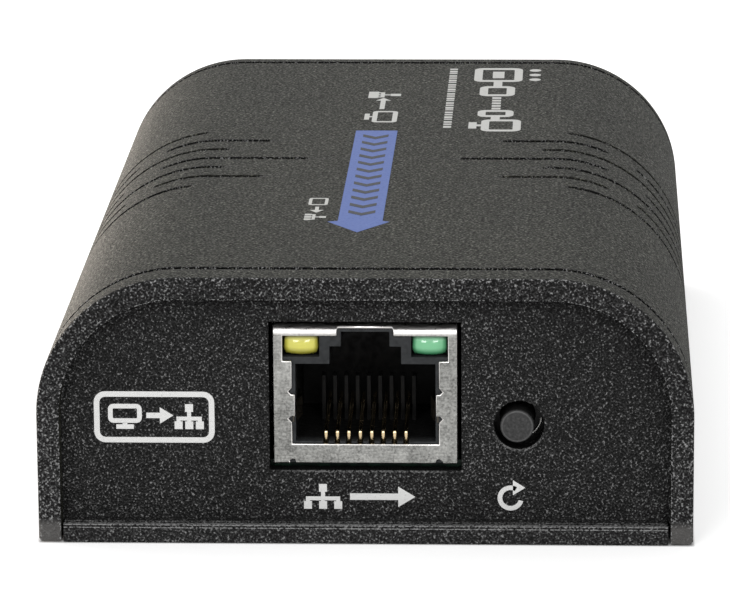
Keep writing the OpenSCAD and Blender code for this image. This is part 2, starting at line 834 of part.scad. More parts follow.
module power_jack_body() {
    back = panel_face_y - power_l;
    color("#19191b") difference() {
        union() {
            box([power_x - power_w / 2, back, board_z],
                [power_x + power_w / 2, board_end_y, board_z + power_h]);
            translate([power_x, panel_face_y, power_z]) rotate([90, 0, 0])
                cylinder(r = power_collar_r, h = power_l / 2);
        }
        translate([power_x, panel_face_y + over, power_z]) rotate([90, 0, 0])
            cylinder(r = power_bore_r, h = power_bore_l + over);
        translate([power_x, panel_face_y, power_z]) rotate([90, 0, 0])
            cylinder(r = power_root_r + seat / 2, h = power_l + over);
        power_spring(hole_play / 4);
    }
}

// Leaf that touches the plug's sleeve, in a slot under the bore, grown by some play
module power_spring(play) {
    block(power_x, panel_face_y - power_bore_l / 2 - spring_l / 4,
        power_z - power_bore_r - spring_t - play,
        spring_w + 2 * play, spring_l + 2 * play, spring_t + play);
}

module power_jack_spring() {
    color("#c9c9c4") difference() {
        power_spring(0);
        translate([power_x, panel_face_y + over, power_z]) rotate([90, 0, 0])
            cylinder(r = power_bore_r + seat, h = power_l);
    }
}

// Pin with a thinner root that goes through the jack's back wall
module power_jack_pin() {
    tip = panel_face_y - 2 * lip_t;
    color("#cfcfca") translate([power_x, tip, power_z]) rotate([90, 0, 0]) {
        cylinder(r = power_pin_r, h = tip - panel_face_y + power_bore_l);
        cylinder(r = power_root_r, h = tip - panel_face_y + power_l);
    }
}

module ir_jack_body() {
    back = panel_face_y - ir_l;
    color("#19191b") difference() {
        union() {
            box([ir_x - ir_w / 2, back, board_z], [ir_x + ir_w / 2, board_end_y, board_z + seat + ir_h]);
            translate([ir_x, panel_face_y, ir_z]) rotate([90, 0, 0])
                cylinder(r = min(ir_collar_r, ir_z - board_z), h = ir_l / 2);
        }
        translate([ir_x, panel_face_y + over, ir_z]) rotate([90, 0, 0])
            cylinder(r = ir_bore_r, h = ir_bore_l + over);
    }
}

// Contact strips on the two sides of the jack, with their solder feet
module ir_jack_contacts() {
    color("#c9c9c4") for (side = [-1, 1], place = [0.25, 0.6])
        block(ir_x + side * (ir_w + ir_contact_t) / 2, board_end_y - place * ir_l, board_z,
            ir_contact_t, ir_contact_w, ir_contact_l);
}

// Light with a flange behind the panel and two legs down to the board
module rear_light(x) {
    translate([x, panel_face_y, light_z]) rotate([90, 0, 0]) cylinder(r = light_r, h = light_l);
    translate([x, panel_back_y - light_flange_t / 2, light_z]) rotate([90, 0, 0])
        cylinder(r = light_flange_r, h = light_flange_t);
    for (side = [-1, 1])
        block(x + side * light_leg_gap / 2, panel_face_y - light_l + light_leg_w, board_z,
            light_leg_w, light_leg_w, light_z - board_z);
}

module power_light() {
    color("#c94a3c") rear_light(power_light_x);
}

module link_light() {
    color("#4f7fd0") rear_light(link_light_x);
}

// Stands a piece on the board, with its middle at a place
module on_board(place, w, l, h, lift = 0) {
    block(place[0], place[1], board_z + lift, w, l, h);
}

module lan_transformer() {
    color("#1d1d1f") on_board([0, front_row_y + magnetics_l / 2],
        magnetics_w, magnetics_l, magnetics_h);
}

module processor() {
    color("#232325") on_board(board_point(processor_shares),
        processor_w, processor_w, processor_h);
}

module thermal_pad() {
    color("#9aa6b5") on_board(board_point(processor_shares),
        processor_w, processor_w, pad_t, processor_h);
}

module heat_sink() {
    place = board_point(processor_shares);
    base = 0.25 * sink_h;
    pitch = sink_w / fin_count;
    color("#9fa3a6") difference() {
        on_board(place, sink_w, sink_w, sink_h, processor_h + pad_t);
        for (i = [1 : fin_count - 1])
            block(place[0] + (i - fin_count / 2) * pitch, place[1],
                board_z + processor_h + pad_t + base, pitch / 2, sink_w + 2 * over, sink_h);
    }
}

module video_receiver() {
    color("#232325") on_board(receiver_place, receiver_w, receiver_w, chip_h, leg_h / 2);
}

module network_chip() {
    color("#232325") on_board(phy_place, phy_w, phy_w, chip_h, leg_h / 2);
}

module memory_chip() {
    color("#232325") on_board(board_point(memory_shares),
        memory_w, memory_l, chip_h, leg_h / 2);
}

module flash_chip() {
    color("#232325") on_board(board_point(flash_shares),
        flash_w, flash_l, chip_h, leg_h / 2);
}

// A row of leads along the two long sides of a chip, turned a quarter for the others
module lead_rows(place, w, l) {
    count = floor((l - lead_pitch) / lead_pitch);
    for (side = [-1, 1], i = [0 : count])
        block(place[0] + side * (w + lead_l) / 2, place[1] + (i - count / 2) * lead_pitch,
            board_z, lead_l, lead_w, leg_h + lead_t);
}

module chip_leads() {
    color("silver") {
        for (chip = [[receiver_place, receiver_w], [phy_place, phy_w]]) {
            lead_rows(chip[0], chip[1], chip[1]);
            translate(chip[0]) rotate([0, 0, 90]) lead_rows([0, 0], chip[1], chip[1]);
        }
        lead_rows(board_point(memory_shares), memory_w, memory_l);
        lead_rows(board_point(flash_shares), flash_w, flash_l);
    }
}

// Two crystals in flat cans with round ends
module crystals() {
    r = crystal_w / 2;
    front_place = [front_crystal_share * board_w / 2, front_row_y + crystal_l / 2];
    color("#c9c9c4") for (place = [front_place, board_point(crystal_shares)])
        translate([place[0], place[1], board_z]) {
            block(0, 0, 0, crystal_w, crystal_l - crystal_w, crystal_h);
            for (side = [-1, 1]) translate([0, side * (crystal_l / 2 - r), 0])
                cylinder(r = r, h = crystal_h);
        }
}

module electrolytic_capacitors() {
    color("#b8bcc2") for (share = can_shares) translate([share * board_w / 2, can_y, board_z]) {
        block(0, 0, 0, 2 * can_r, 2 * can_r, base_h);
        cylinder(r = can_r - seat, h = can_h);
    }
}

// Ferrite blocks, each with a round winding on a square base
module power_inductors() {
    color("#4a4a4d") for (share = coil_shares) translate([share * board_w / 2, coil_y, board_z]) {
        block(0, 0, 0, coil_w, coil_w, base_h / 2);
        cylinder(r = coil_w / 2 - seat, h = coil_h);
    }
}

module voltage_regulators() {
    color("#232325") for (shares = regulator_shares)
        on_board(board_point(shares), regulator_w, regulator_l, regulator_h);
}

// Small capacitors in two rows beside the processor and one behind the network socket
module chip_capacitors() {
    color("#b59a76") {
        for (side = [-1, 1], i = [-3 : 3])
            block(side * (sink_w / 2 + chip_cap_w / 2 + hole_play), (1.5 * i) * chip_cap_w,
                board_z, chip_cap_l, chip_cap_w, chip_cap_h);
        for (i = [-2 : 2])
            block(2 * i * chip_cap_w, -lan_face_y + lan_l + chip_cap_w / 2, board_z,
                chip_cap_w, chip_cap_l, chip_cap_h);
    }
}

top_shell();
bottom_cover();
front_panel();
rear_panel();
cover_screws();
main_board();
board_screws();
lan_shield();
lan_insert();
lan_contacts();
lan_lamp_yellow();
lan_lamp_green();
lan_transformer();
reset_switch_body();
reset_switch_frame();
reset_switch_terminals();
reset_snap_dome();
reset_button();
video_socket_shield();
video_socket_tongue();
video_socket_contacts();
power_jack_body();
power_jack_pin();
power_jack_spring();
ir_jack_body();
ir_jack_contacts();
power_light();
link_light();
processor();
thermal_pad();
heat_sink();
video_receiver();
network_chip();
memory_chip();
flash_chip();
chip_leads();
crystals();
electrolytic_capacitors();
power_inductors();
voltage_regulators();
chip_capacitors();
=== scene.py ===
import math

import bmesh
import bpy
from mathutils import Matrix, Vector


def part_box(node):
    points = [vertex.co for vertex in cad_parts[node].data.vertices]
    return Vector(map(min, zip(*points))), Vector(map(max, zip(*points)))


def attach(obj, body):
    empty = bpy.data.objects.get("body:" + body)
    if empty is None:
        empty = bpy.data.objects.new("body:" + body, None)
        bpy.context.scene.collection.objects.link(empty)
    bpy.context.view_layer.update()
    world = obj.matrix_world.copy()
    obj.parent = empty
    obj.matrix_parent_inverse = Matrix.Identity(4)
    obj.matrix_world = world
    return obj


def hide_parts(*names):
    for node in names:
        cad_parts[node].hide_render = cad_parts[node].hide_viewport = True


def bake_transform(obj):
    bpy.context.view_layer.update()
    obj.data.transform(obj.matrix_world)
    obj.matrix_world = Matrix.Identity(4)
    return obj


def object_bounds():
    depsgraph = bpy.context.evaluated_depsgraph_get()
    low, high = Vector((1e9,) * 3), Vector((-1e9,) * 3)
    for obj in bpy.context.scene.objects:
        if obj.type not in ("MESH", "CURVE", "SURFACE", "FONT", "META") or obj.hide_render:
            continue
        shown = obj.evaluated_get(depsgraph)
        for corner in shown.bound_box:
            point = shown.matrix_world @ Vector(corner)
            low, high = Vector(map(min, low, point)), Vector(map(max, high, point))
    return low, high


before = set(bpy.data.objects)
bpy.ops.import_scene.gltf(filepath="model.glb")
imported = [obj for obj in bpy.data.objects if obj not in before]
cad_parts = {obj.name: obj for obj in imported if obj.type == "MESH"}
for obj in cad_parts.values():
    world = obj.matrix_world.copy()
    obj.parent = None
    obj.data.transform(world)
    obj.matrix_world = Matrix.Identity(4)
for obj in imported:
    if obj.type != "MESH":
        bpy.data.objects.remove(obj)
cad_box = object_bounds()
scene = bpy.context.scene
scene.view_settings.view_transform = "Standard"


# Studio: a white floor that keeps the shadow, a white surround for the camera and for gloss,
# a broad soft box overhead, a low warm one on the left, two window-like ones in front, and a
# long lens half a metre before the network socket.
class Shade:
    """A value in a finish's node tree. Sums on it add Math nodes to that tree."""

    def __init__(self, tree, socket=None):
        self.tree, self.socket = tree, socket

    def node(self, kind, settings=None, inputs=None, output=0):
        """Adds a node and gives one of its outputs. A Shade among the inputs is linked."""
        made = self.tree.nodes.new(kind)
        for name, value in (settings or {}).items():
            if name == "stops":
                ramp = made.color_ramp
                while len(ramp.elements) < len(value):
                    ramp.elements.new(1.0)
                for element, (place, colour) in zip(ramp.elements, value):
                    element.position, element.color = place, colour
            else:
                setattr(made, name, value)
        for name, value in (inputs or {}).items():
            if isinstance(value, Shade):
                self.tree.links.new(value.socket, made.inputs[name])
            else:
                made.inputs[name].default_value = value
        return Shade(self.tree, made.outputs[output])

    def math(self, operation, other=0.0):
        return self.node("ShaderNodeMath", {"operation": operation}, {0: self, 1: other})

    def __add__(self, other):
        return self.math("ADD", other)

    def __mul__(self, other):
        return self.math("MULTIPLY", other)

    def __rsub__(self, other):
        return self.node("ShaderNodeMath", {"operation": "SUBTRACT"}, {0: other, 1: self})

    def __sub__(self, other):
        return self.math("SUBTRACT", other)

    def clamped(self):
        """This value, held between 0 and 1."""
        return self.math("MINIMUM", 1.0).math("MAXIMUM", 0.0)

    __radd__ = __add__
    __rmul__ = __mul__

    def mix(self, low, high):
        """Colour that goes from low to high as this value goes from 0 to 1."""
        return self.node("ShaderNodeMix", {"data_type": "RGBA"}, {0: self, 6: low, 7: high}, 2)


def new_finish(name):
    """A material with an empty principled shader, as (material, first value, shader's inputs)."""
    material = bpy.data.materials.new(name)
    material.use_nodes = True
    return material, Shade(material.node_tree), material.node_tree.nodes["Principled BSDF"].inputs


def part_of(spot, axis):
    """One coordinate of a place: 0 across, 1 lengthwise, 2 up."""
    return spot.node("ShaderNodeSeparateXYZ", inputs={0: spot}, output=axis)


def rising(value, start, width):
    """0 below start, 1 above start and width, and straight between."""
    return ((value - start) * (1.0 / width)).clamped()


def grey(level, warmth=0.0):
    """An even grey, or one leaning to red with warmth above 0 and to blue below it."""
    return (level * (1.0 + warmth), level, level * (1.0 - warmth), 1.0)


mm = 0.001
white = (1.0, 1.0, 1.0, 1.0)
surround = bpy.data.worlds.new("studio_surround")
surround.use_nodes = True
scene.world = surround
first = Shade(surround.node_tree)
path = first.node("ShaderNodeLightPath")
seen_as_white = ("Is Camera Ray", "Is Glossy Ray", "Is Transmission Ray")
seen = sum(Shade(first.tree, path.socket.node.outputs[ray]) for ray in seen_as_white)
plain_level = 0.4
sky = surround.node_tree.nodes["Background"].inputs
sky["Color"].default_value = white
sky_level = seen.math("MINIMUM", 1.0) * (1.0 - plain_level) + plain_level
first.tree.links.new(sky_level.socket, sky["Strength"])

floor_half, floor_drop = 3.0, 0.05 * mm
bm = bmesh.new()
bmesh.ops.create_grid(bm, x_segments=1, y_segments=1, size=floor_half,
                      matrix=Matrix.Translation((0.0, 0.0, -floor_drop)))
floor_mesh = bpy.data.meshes.new("studio_floor")
bm.to_mesh(floor_mesh)
bm.free()
floor = bpy.data.objects.new("studio_floor", floor_mesh)
scene.collection.objects.link(floor)
floor_paint, first, shader = new_finish("floor_paint")
shader["Base Color"].default_value = grey(0.93)
shader["Roughness"].default_value = 0.9
shader["Specular IOR Level"].default_value = 0.1
spot = first.node("ShaderNodeTexCoord", output=3)
floor_x, floor_y = (part_of(spot, axis).math("ABSOLUTE") for axis in (0, 1))
footprint_edge = 0.2 * mm
past_sides = rising(floor_x, cad_box[1][0], footprint_edge)
past_ends = rising(floor_y, cad_box[1][1], footprint_edge)
clear = (past_sides + past_ends).math("MINIMUM", 1.0)
glow = (first.node("ShaderNodeLightPath") * clear).mix(grey(0.0), white)
first.tree.links.new(glow.socket, shader["Emission Color"])
shader["Emission Strength"].default_value = 0.5
floor_mesh.materials.append(floor_paint)


def soft_box(name, place, aim, width, height, power, warmth=0.0):
    """A rectangular light of a power in watts that looks at its aim."""
    light = bpy.data.lights.new(name, "AREA")
    light.shape, light.size, light.size_y = "RECTANGLE", width, height
    light.energy = power
    light.color = grey(1.0, warmth)[:3]
    lamp = bpy.data.objects.new(name, light)
    lamp.location = place
    lamp.rotation_euler = (Vector(aim) - Vector(place)).to_track_quat("-Z", "Y").to_euler()
    scene.collection.objects.link(lamp)


soft_box("overhead_box", (-0.3, 0.45, 1.05), (0.0, 0.0, 0.0), 1.2, 0.9, 4.6)
soft_box("left_box", (-0.63, 0.42, 0.055), (0.0, 0.0, 0.01), 0.8, 0.09, 5.6, warmth=0.13)
for side in (-1, 1):
    window_at = (0.21 * side - 0.02, -0.68, 0.38)
    soft_box(f"window_box_{side + 2}", window_at, (0.0, -0.04, 0.01), 0.22, 0.28, 1.35)

lens = bpy.data.cameras.new("long_lens")
lens.lens, lens.sensor_width = 244.7, 36.0
lens.clip_start, lens.clip_end = 0.05, 20.0
camera = bpy.data.objects.new("camera", lens)
eye = Vector((0.01886, -0.46641, 0.13138))
yaw, pitch, roll = (math.radians(a) for a in (-2.555, -14.611, -0.42))
camera.matrix_world = (
    Matrix.Translation(eye)
    @ Matrix.Rotation(-yaw, 4, "Z")
    @ Matrix.Rotation(math.pi / 2 + pitch, 4, "X")
    @ Matrix.Rotation(roll, 4, "Z")
)
scene.collection.objects.link(camera)
scene.camera = camera


# Top shell: one moulding in black plastic with a spark-eroded grain. It is drawn as the
# section of its wall, from rim to rim, run round the arch from foot to foot; the lines
# near the rims and the shoulder grooves are cut into the skin.
shell_low, shell_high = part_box("top_shell")
half_w, half_l = shell_high.x, shell_high.y
shell_top, foot_z = shell_high.z, shell_low.z
shoulder_r = 12.6 * mm
wall = 2.0 * mm
rim_outer_r, rim_inner_r = 0.3 * mm, 0.16 * mm
foot_chamfer = 0.2 * mm
slot_depth = 0.76 * mm
slot_front, slot_back = 1.94 * mm, 3.66 * mm
line_w, line_d = 0.75 * mm, 0.25 * mm
front_line, rear_line = 3.65 * mm, 2.04 * mm
groove_pitch, groove_w, groove_d, groove_edge = 3.82 * mm, 0.8 * mm, 0.35 * mm, 0.05 * mm
# Width of the painted shade band beside the lines and grooves.
shade_band_w = 0.3 * mm
leg = shell_top - shoulder_r - foot_z
arc = shoulder_r * math.pi / 2
flat = half_w - shoulder_r
arch_half = flat + arc + leg


def arch_point(u, inset):
    """Point of the arch at a way u from its crown, drawn in by an inset."""
    side, way = math.copysign(1, u), abs(u)
    if way < flat:
        return u, shell_top - inset
    if way < flat + arc:
        turn = (way - flat) / shoulder_r
        reach = shoulder_r - inset
        return side * (flat + reach * math.sin(turn)), shell_top - shoulder_r + reach * math.cos(turn)
    return side * (half_w - inset), shell_top - shoulder_r - (way - flat - arc)


def way_at_height(z):
    """Way from the crown to the point of the arch at a height."""
    drop = shell_top - shoulder_r - z
    return flat + arc + drop if drop > 0 else flat + shoulder_r * math.acos(-drop / shoulder_r)


def groove_runs():
    """Each groove's place along the box and its runs, as ways from the crown."""
    starts = [share * half_w for share in (0.255, 0.526, 0.391, 0.614)]
    ends = [way_at_height(share * shell_top) for share in (0.42, 0.3, 0.42, 0.5)]
    stop = flat + shoulder_r * math.radians(24.5)
    again = {0: 44.7, 2: 39.0}
    for i in range(-3, 4):
        n = abs(i)
        if n in again:
            restart = flat + shoulder_r * math.radians(again[n])
            runs = [(starts[n], stop), (restart, ends[n])]
        else:
            runs = [(starts[n], ends[n])]
        yield i * groove_pitch, runs


grooves = list(groove_runs())


def groove_reach(u, y):
    """How far a point of the skin lies outside the nearest groove; below 0 inside one."""
    nearest = 1.0
    for middle, runs in grooves:
        for start, end in runs:
            beyond = max(start + groove_w / 2 - abs(u), abs(u) - end + groove_w / 2, 0.0)
            nearest = min(nearest, math.hypot(beyond, y - middle) - groove_w / 2)
    return nearest


def groove_depth(u, y):
    """Depth of the skin's grooves at a point, easing in over their edges."""
    share = min(max((groove_edge - groove_reach(u, y)) / (2 * groove_edge), 0.0), 1.0)
    return groove_d * share * share * (3 - 2 * share)


def add_face(bm, points):
    """One face on new corners."""
    return bm.faces.new([bm.verts.new(p) for p in points])


def round_corners(bm, corners, radius, segments):
    """Rounds the corners of a flat face that lie at the given points."""
    found = [v for v in bm.verts if any((v.co - c).length < 1e-6 for c in corners)]
    bmesh.ops.bevel(bm, geom=found, offset=radius, offset_type="OFFSET", segments=segments, profile=0.5,
                    affect="VERTICES", material=-1, clamp_overlap=True)


def cut(bm, place, direction):
    """Adds a line of edges where a plane passes through the mesh."""
    bmesh.ops.bisect_plane(bm, geom=bm.verts[:] + bm.edges[:] + bm.faces[:], dist=1e-8,
                           plane_co=place, plane_no=direction)


def finish_piece(name, bm, finish, body, replaced=(), crease=38.0, flat_over=0.0):
    """Makes a piece of the mesh: smooth between creases, in its finish, riding on its body if
    it has one."""
    mesh = bpy.data.meshes.new(name)
    bm.to_mesh(mesh)
    bm.free()
    mesh.set_sharp_from_angle(angle=math.radians(crease))
    for face in mesh.polygons:
        face.use_smooth = not flat_over or face.area < flat_over
    mesh.materials.append(finish)
    piece = bpy.data.objects.new(name, mesh)
    scene.collection.objects.link(piece)
    if not flat_over:
        piece.modifiers.new("even_shading", "WEIGHTED_NORMAL").keep_sharp = True
    if body:
        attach(piece, body)
    if replaced:
        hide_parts(*replaced)
    return piece


def spark_grain(spot, tones, grain, lift=0.0):
    """Spark-eroded grain on a moulding, as its height and its paint. The paint has four tones, from
    dark pits to painted glints on the few flat spots that would catch the light; a lift gives more."""
    turned = spot.node("ShaderNodeMapping", inputs={"Vector": spot, "Rotation": (0.5, 0.7, 0.35)})
    pits = spot.node("ShaderNodeTexNoise", inputs={"Vector": turned, "Scale": 1.0 / grain, "Detail": 1.5,
                                                   "Roughness": 0.5, "Distortion": 0.1})
    patches = spot.node("ShaderNodeTexNoise", inputs={"Vector": spot, "Scale": 70.0, "Detail": 2.0})
    stops = [(place, tuple(tone) + (1.0,)) for place, tone in zip((0.3, 0.46, 0.6, 0.74), tones)]
    tone = pits + (patches - 0.5) * 0.1 + lift
    return pits, spot.node("ShaderNodeValToRGB", {"stops": stops}, {"Fac": tone})


def coat(first, shader, colour, pits, depth, roughness):
    """Feeds a finish's colour, its roughness, and the grain's bump."""
    first.tree.links.new(colour.socket, shader["Base Color"])
    first.tree.links.new(((0.5 - pits) * 0.9 + roughness).socket, shader["Roughness"])
    bump = first.node("ShaderNodeBump", inputs={"Height": pits, "Strength": 1.0, "Distance": depth})
    first.tree.links.new(bump.socket, shader["Normal"])


end_band = 0.36 * mm
case_finish, first, shader = new_finish("case_plastic")
spot = first.node("ShaderNodeTexCoord", output=3)
end_zone = rising(part_of(spot, 1).math("ABSOLUTE"), half_l - end_band, 0.14 * mm)
top_tones = [(0.69 * level, 0.7 * level, 0.55 * level) for level in (0.004, 0.021, 0.05, 0.2)]
end_tones = [grey(level)[:3] for level in (0.005, 0.013, 0.05, 0.32)]
top_pits, top_paint = spark_grain(spot, top_tones, 0.22 * mm)
# Painted light: more painted glints low on the rim's end faces, so they are lighter towards the bottom.
low_glint_share = 1.0 - rising(part_of(spot, 2), 9.0 * mm, 9.0 * mm)
end_pits, end_paint = spark_grain(spot, end_tones, 0.19 * mm, low_glint_share * 0.03)
pits = end_zone * (end_pits - top_pits) + top_pits
foot_zone = (1.0 - rising(part_of(spot, 2), 1.5 * mm, 0.7 * mm)) * end_zone
paint = (foot_zone * 0.8).mix(end_zone.mix(top_paint, end_paint), grey(0.12, 0.03))
# Painted shade in the grooves and lines and in a band beside them, broken up by the grain; the bright
# specks in the grooves are painted glints.
cut_shade_share = first.node("ShaderNodeAttribute", {"attribute_name": "cut_depth"}, output=2)
groove_shade = rising(cut_shade_share + (top_pits - 0.5) * 1.6, 0.3, 0.25)
paint = (groove_shade * (1.15 - rising(top_pits, 0.57, 0.1))).clamped().mix(paint, grey(0.0008))
dots = first.node("ShaderNodeTexNoise", inputs={"Vector": spot, "Scale": 6000.0, "Detail": 1.0})
paint = (cut_shade_share * rising(dots, 0.6, 0.06)).mix(paint, grey(0.3))
# Painted glints: bright specks along the rim's outer and inner edges.
worn_edge = first.node("ShaderNodeAttribute", {"attribute_name": "worn_edge"}, output=2)
rim_glint_specks = rising(worn_edge * 0.09 + end_pits, 0.67, 0.1)
paint = (worn_edge.math("MINIMUM", 1.0) * rim_glint_specks).mix(paint, grey(0.34))
coat(first, shader, paint, pits, 0.18 * mm, 0.56)
shader["Specular IOR Level"].default_value = 0.08

bm = bmesh.new()
rim = half_l
line_at = [-half_l + front_line, half_l - rear_line]
outer = [(-rim, 0.0)]
for middle in line_at:
    shade_band_edge = line_w / 2 + shade_band_w
    outer += [(middle - shade_band_edge, 0.0), (middle - line_w / 2, 0.0), (middle - line_w / 2, line_d),
              (middle + line_w / 2, line_d), (middle + line_w / 2, 0.0), (middle + shade_band_edge, 0.0)]
outer.append((rim, 0.0))
inner = [(rim, wall)]
for turn in (1, -1):
    slot = [(rim - slot_front, wall), (rim - slot_front, wall - slot_depth),
            (rim - slot_back, wall - slot_depth), (rim - slot_back, wall)]
    inner += [(turn * y, inset) for y, inset in slot[::turn]]
inner.append((-rim, wall))
add_face(bm, [(-arch_half, y, inset) for y, inset in outer + inner])
ends = [Vector((-arch_half, turn * rim, 0.0)) for turn in (-1, 1)]
round_corners(bm, ends, rim_outer_r, 5)
round_corners(bm, [Vector((-arch_half, turn * rim, wall)) for turn in (-1, 1)], rim_inner_r, 3)
line_mouths = [Vector((-arch_half, m + s * line_w / 2, 0.0)) for m in line_at for s in (-1, 1)]
round_corners(bm, line_mouths, groove_edge, 2)
run = bmesh.ops.extrude_face_region(bm, geom=bm.faces[:])
bmesh.ops.translate(bm, verts=[v for v in run["geom"] if isinstance(v, bmesh.types.BMVert)],
                    vec=(2 * arch_half, 0.0, 0.0))
cap_offsets = [k * mm for k in (-0.06, 0.0, 0.06, 0.15, 0.28, 0.44)]
ways = {0.0, flat, arch_half - foot_chamfer}
ways |= {flat + arc * k / 28 for k in range(1, 29)}
ways |= {flat + arc + leg * k / 4 for k in range(1, 4)}
for middle, runs in grooves:
    for start, end in runs:
        ways |= {start + offset for offset in cap_offsets}
        ways |= {end - offset for offset in cap_offsets}
places = sorted(ways)
places = [w for w, following in zip(places, places[1:] + [1.0]) if following - w > 0.004 * mm]
for way in places:
    for side in ((-1, 1) if way else (1,)):
        cut(bm, (side * way, 0.0, 0.0), (1.0, 0.0, 0.0))
groove_offsets = [0.0]
for side in (-1, 1):
    groove_offsets += [side * (groove_w / 2 + k) for k in (-groove_edge, 0.0, groove_edge, shade_band_w)]
for middle, runs in grooves:
    for offset in groove_offsets:
        cut(bm, (0.0, middle + offset, 0.0), (0.0, 1.0, 0.0))
# Each vertex's share of the painted shade in and beside the grooves and lines, and a mark on the rim's
# edges for painted glints.
cut_depth = bm.verts.layers.float.new("cut_depth")
worn_edge = bm.verts.layers.float.new("worn_edge")
for v in bm.verts:
    u, y, inset = v.co
    from_rim = rim - abs(y)
    outer_turn = from_rim < rim_outer_r - 1e-6 and 1e-6 < inset < rim_outer_r - 1e-6
    inner_turn = from_rim < rim_inner_r - 1e-6 and inset > wall - rim_inner_r + 1e-6
    v[worn_edge] = 2.0 if inner_turn else 1.0 if outer_turn else 0.0
    if inset < 1e-7 and abs(y) < 4 * groove_pitch:
        inset = groove_depth(u, y)
        beyond = groove_reach(u, y)
        v[cut_depth] = min(1.6 * inset / groove_d, 1.0) if inset else max(0.7 * (1 - beyond / shade_band_w), 0.0)
    elif inset < 2 * line_d:
        beyond = min(abs(y - m) for m in line_at) - line_w / 2
        if beyond < 0.9 * shade_band_w:
            v[cut_depth] = 1.0 if inset > 1e-7 else 0.7
    inset = max(inset, abs(u) - arch_half + foot_chamfer)
    x, z = arch_point(u, inset)
    v.co = (x, y, z)
post_x, post_y, post_r, bore_r = 22.8 * mm, 34.0 * mm, 2.6 * mm, 1.16 * mm
post_foot, bore_top, post_top = 5.01 * mm, 13.01 * mm, shell_top - wall / 2
post_line = [(0.0, bore_top), (bore_r, bore_top), (bore_r, post_foot),
             (post_r, post_foot), (post_r, post_top), (0.0, post_top)]
for x in (-post_x, post_x):
    for y in (-post_y, post_y):
        corners = [bm.verts.new((x + r, y, z)) for r, z in post_line]
        edges = [bm.edges.new(pair) for pair in zip(corners, corners[1:])]
        bmesh.ops.spin(bm, geom=corners + edges, cent=(x, y, 0.0), axis=(0.0, 0.0, 1.0),
                       angle=2 * math.pi, steps=32, use_merge=True, use_duplicate=False)
        for v in bm.verts:
            on_post = math.hypot(v.co.x - x, v.co.y - y) < 1.1 * post_r
            if on_post and abs(v.co.z - post_top) < 1e-7:
                reach = abs(v.co.x) - flat
                v.co.z = shell_top - shoulder_r + math.sqrt((shoulder_r - wall / 2) ** 2 - reach ** 2)
bmesh.ops.remove_doubles(bm, verts=bm.verts[:], dist=1e-7)
bmesh.ops.recalc_face_normals(bm, faces=bm.faces[:])
finish_piece("top_shell_moulding", bm, case_finish, "case", ["top_shell"])


# End panels, bottom cover and the rest of the plastic and sheet pieces that the construction
# gives exactly: each is copied, its facets joined and its edges rounded as the mould or the
# press leaves them.
def softened(node, radius, segments=2, sharper=30.0, bend=None, whole=1.0, clamp=True):
    """A copy of a piece, bent if need be. Facets that turn by less than the angle whole are
    joined, and edges that turn by more than the angle sharper are rounded."""
    bm = bmesh.new()
    bm.from_mesh(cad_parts[node].data)
    bmesh.ops.remove_doubles(bm, verts=bm.verts[:], dist=2e-7)
    bmesh.ops.dissolve_limit(bm, angle_limit=math.radians(whole), verts=bm.verts[:], edges=bm.edges[:])
    turned = math.radians(sharper)
    if bend:
        bend(bm)
    on_edge = bm.faces.layers.float.new("on_edge")
    edges = [e for e in bm.edges if len(e.link_faces) == 2 and e.calc_face_angle(0.0) > turned]
    rounded = bmesh.ops.bevel(bm, geom=edges, offset=radius, offset_type="OFFSET", segments=segments,
                              profile=0.5, affect="EDGES", material=-1, clamp_overlap=clamp,
                              loop_slide=True)
    for face in rounded["faces"]:
        face[on_edge] = 1.0
    return bm


def near(value, middle, reach):
    """1 at a value's middle, falling to 0 at the reach on both sides, with a flat crown."""
    return (2.0 - (value - middle).math("ABSOLUTE") * (2.0 / reach)).clamped()


panel_face = 45.0 * mm
plate_back, plate_edge, plate_foot = panel_face - 1.65 * mm, panel_face - 0.14 * mm, 1.9 * mm
strip_z, strip_front = 1.7 * mm, 46.0 * mm
cutout_half, cutout_low = 8.5 * mm, 6.15 * mm
hole_x, hole_z, hole_r = 13.6 * mm, 10.4 * mm, 2.21 * mm
panel_finish, first, shader = new_finish("panel_plastic")
spot = first.node("ShaderNodeTexCoord", output=3)
panel_tones = [grey(level)[:3] for level in (0.003, 0.0075, 0.031, 0.27)]
pits, paint = spark_grain(spot, panel_tones, 0.18 * mm)
lengthwise = part_of(spot, 1).math("ABSOLUTE")
# Painted shade: the walls of the openings, behind the panel face and above its foot, are near black.
behind_face = 1.0 - rising(lengthwise, plate_edge, 0.1 * mm)
opening_shade = rising(lengthwise, plate_back, 0.05 * mm) * behind_face
across, height = part_of(spot, 0), part_of(spot, 2)
low_edge = 1.0 - rising(height, plate_foot, 0.1 * mm)
paint = ((1.0 - low_edge) * opening_shade).mix(paint, grey(0.002))
# Painted glints: bright lines along the lower edges of the socket's cut-out and the reset hole, and
# fainter along the foot strip.
front_side = rising(part_of(spot, 1) * -1.0, panel_face - 0.16 * mm, 0.04 * mm)
lip_line = near(height, cutout_low - 0.04 * mm, 0.16 * mm) * near(across, 0.0, cutout_half + 0.3 * mm)
from_hole = (across - hole_x).math("POWER", 2.0) + (height - hole_z).math("POWER", 2.0)
hole_foot = 1.0 - rising(height, 8.6 * mm, 1.2 * mm)
hole_line = near(from_hole.math("SQRT"), hole_r + 0.06 * mm, 0.16 * mm) * hole_foot
strip_line = near(height, strip_z, 0.12 * mm) * rising(lengthwise, strip_front, 0.05 * mm)
glint = (lip_line + hole_line) * front_side + strip_line * 0.35
paint = (glint.clamped() * rising(pits, 0.38, 0.2)).mix(paint, grey(0.17))
coat(first, shader, paint, pits, 0.22 * mm, 0.55)
shader["Specular IOR Level"].default_value = 0.15
finish_piece("front_panel_moulding", softened("front_panel", 0.12 * mm, 3), panel_finish, "case",
             ["front_panel"])
finish_piece("rear_panel_moulding", softened("rear_panel", 0.12 * mm, 3), panel_finish, "case",
             ["rear_panel"])

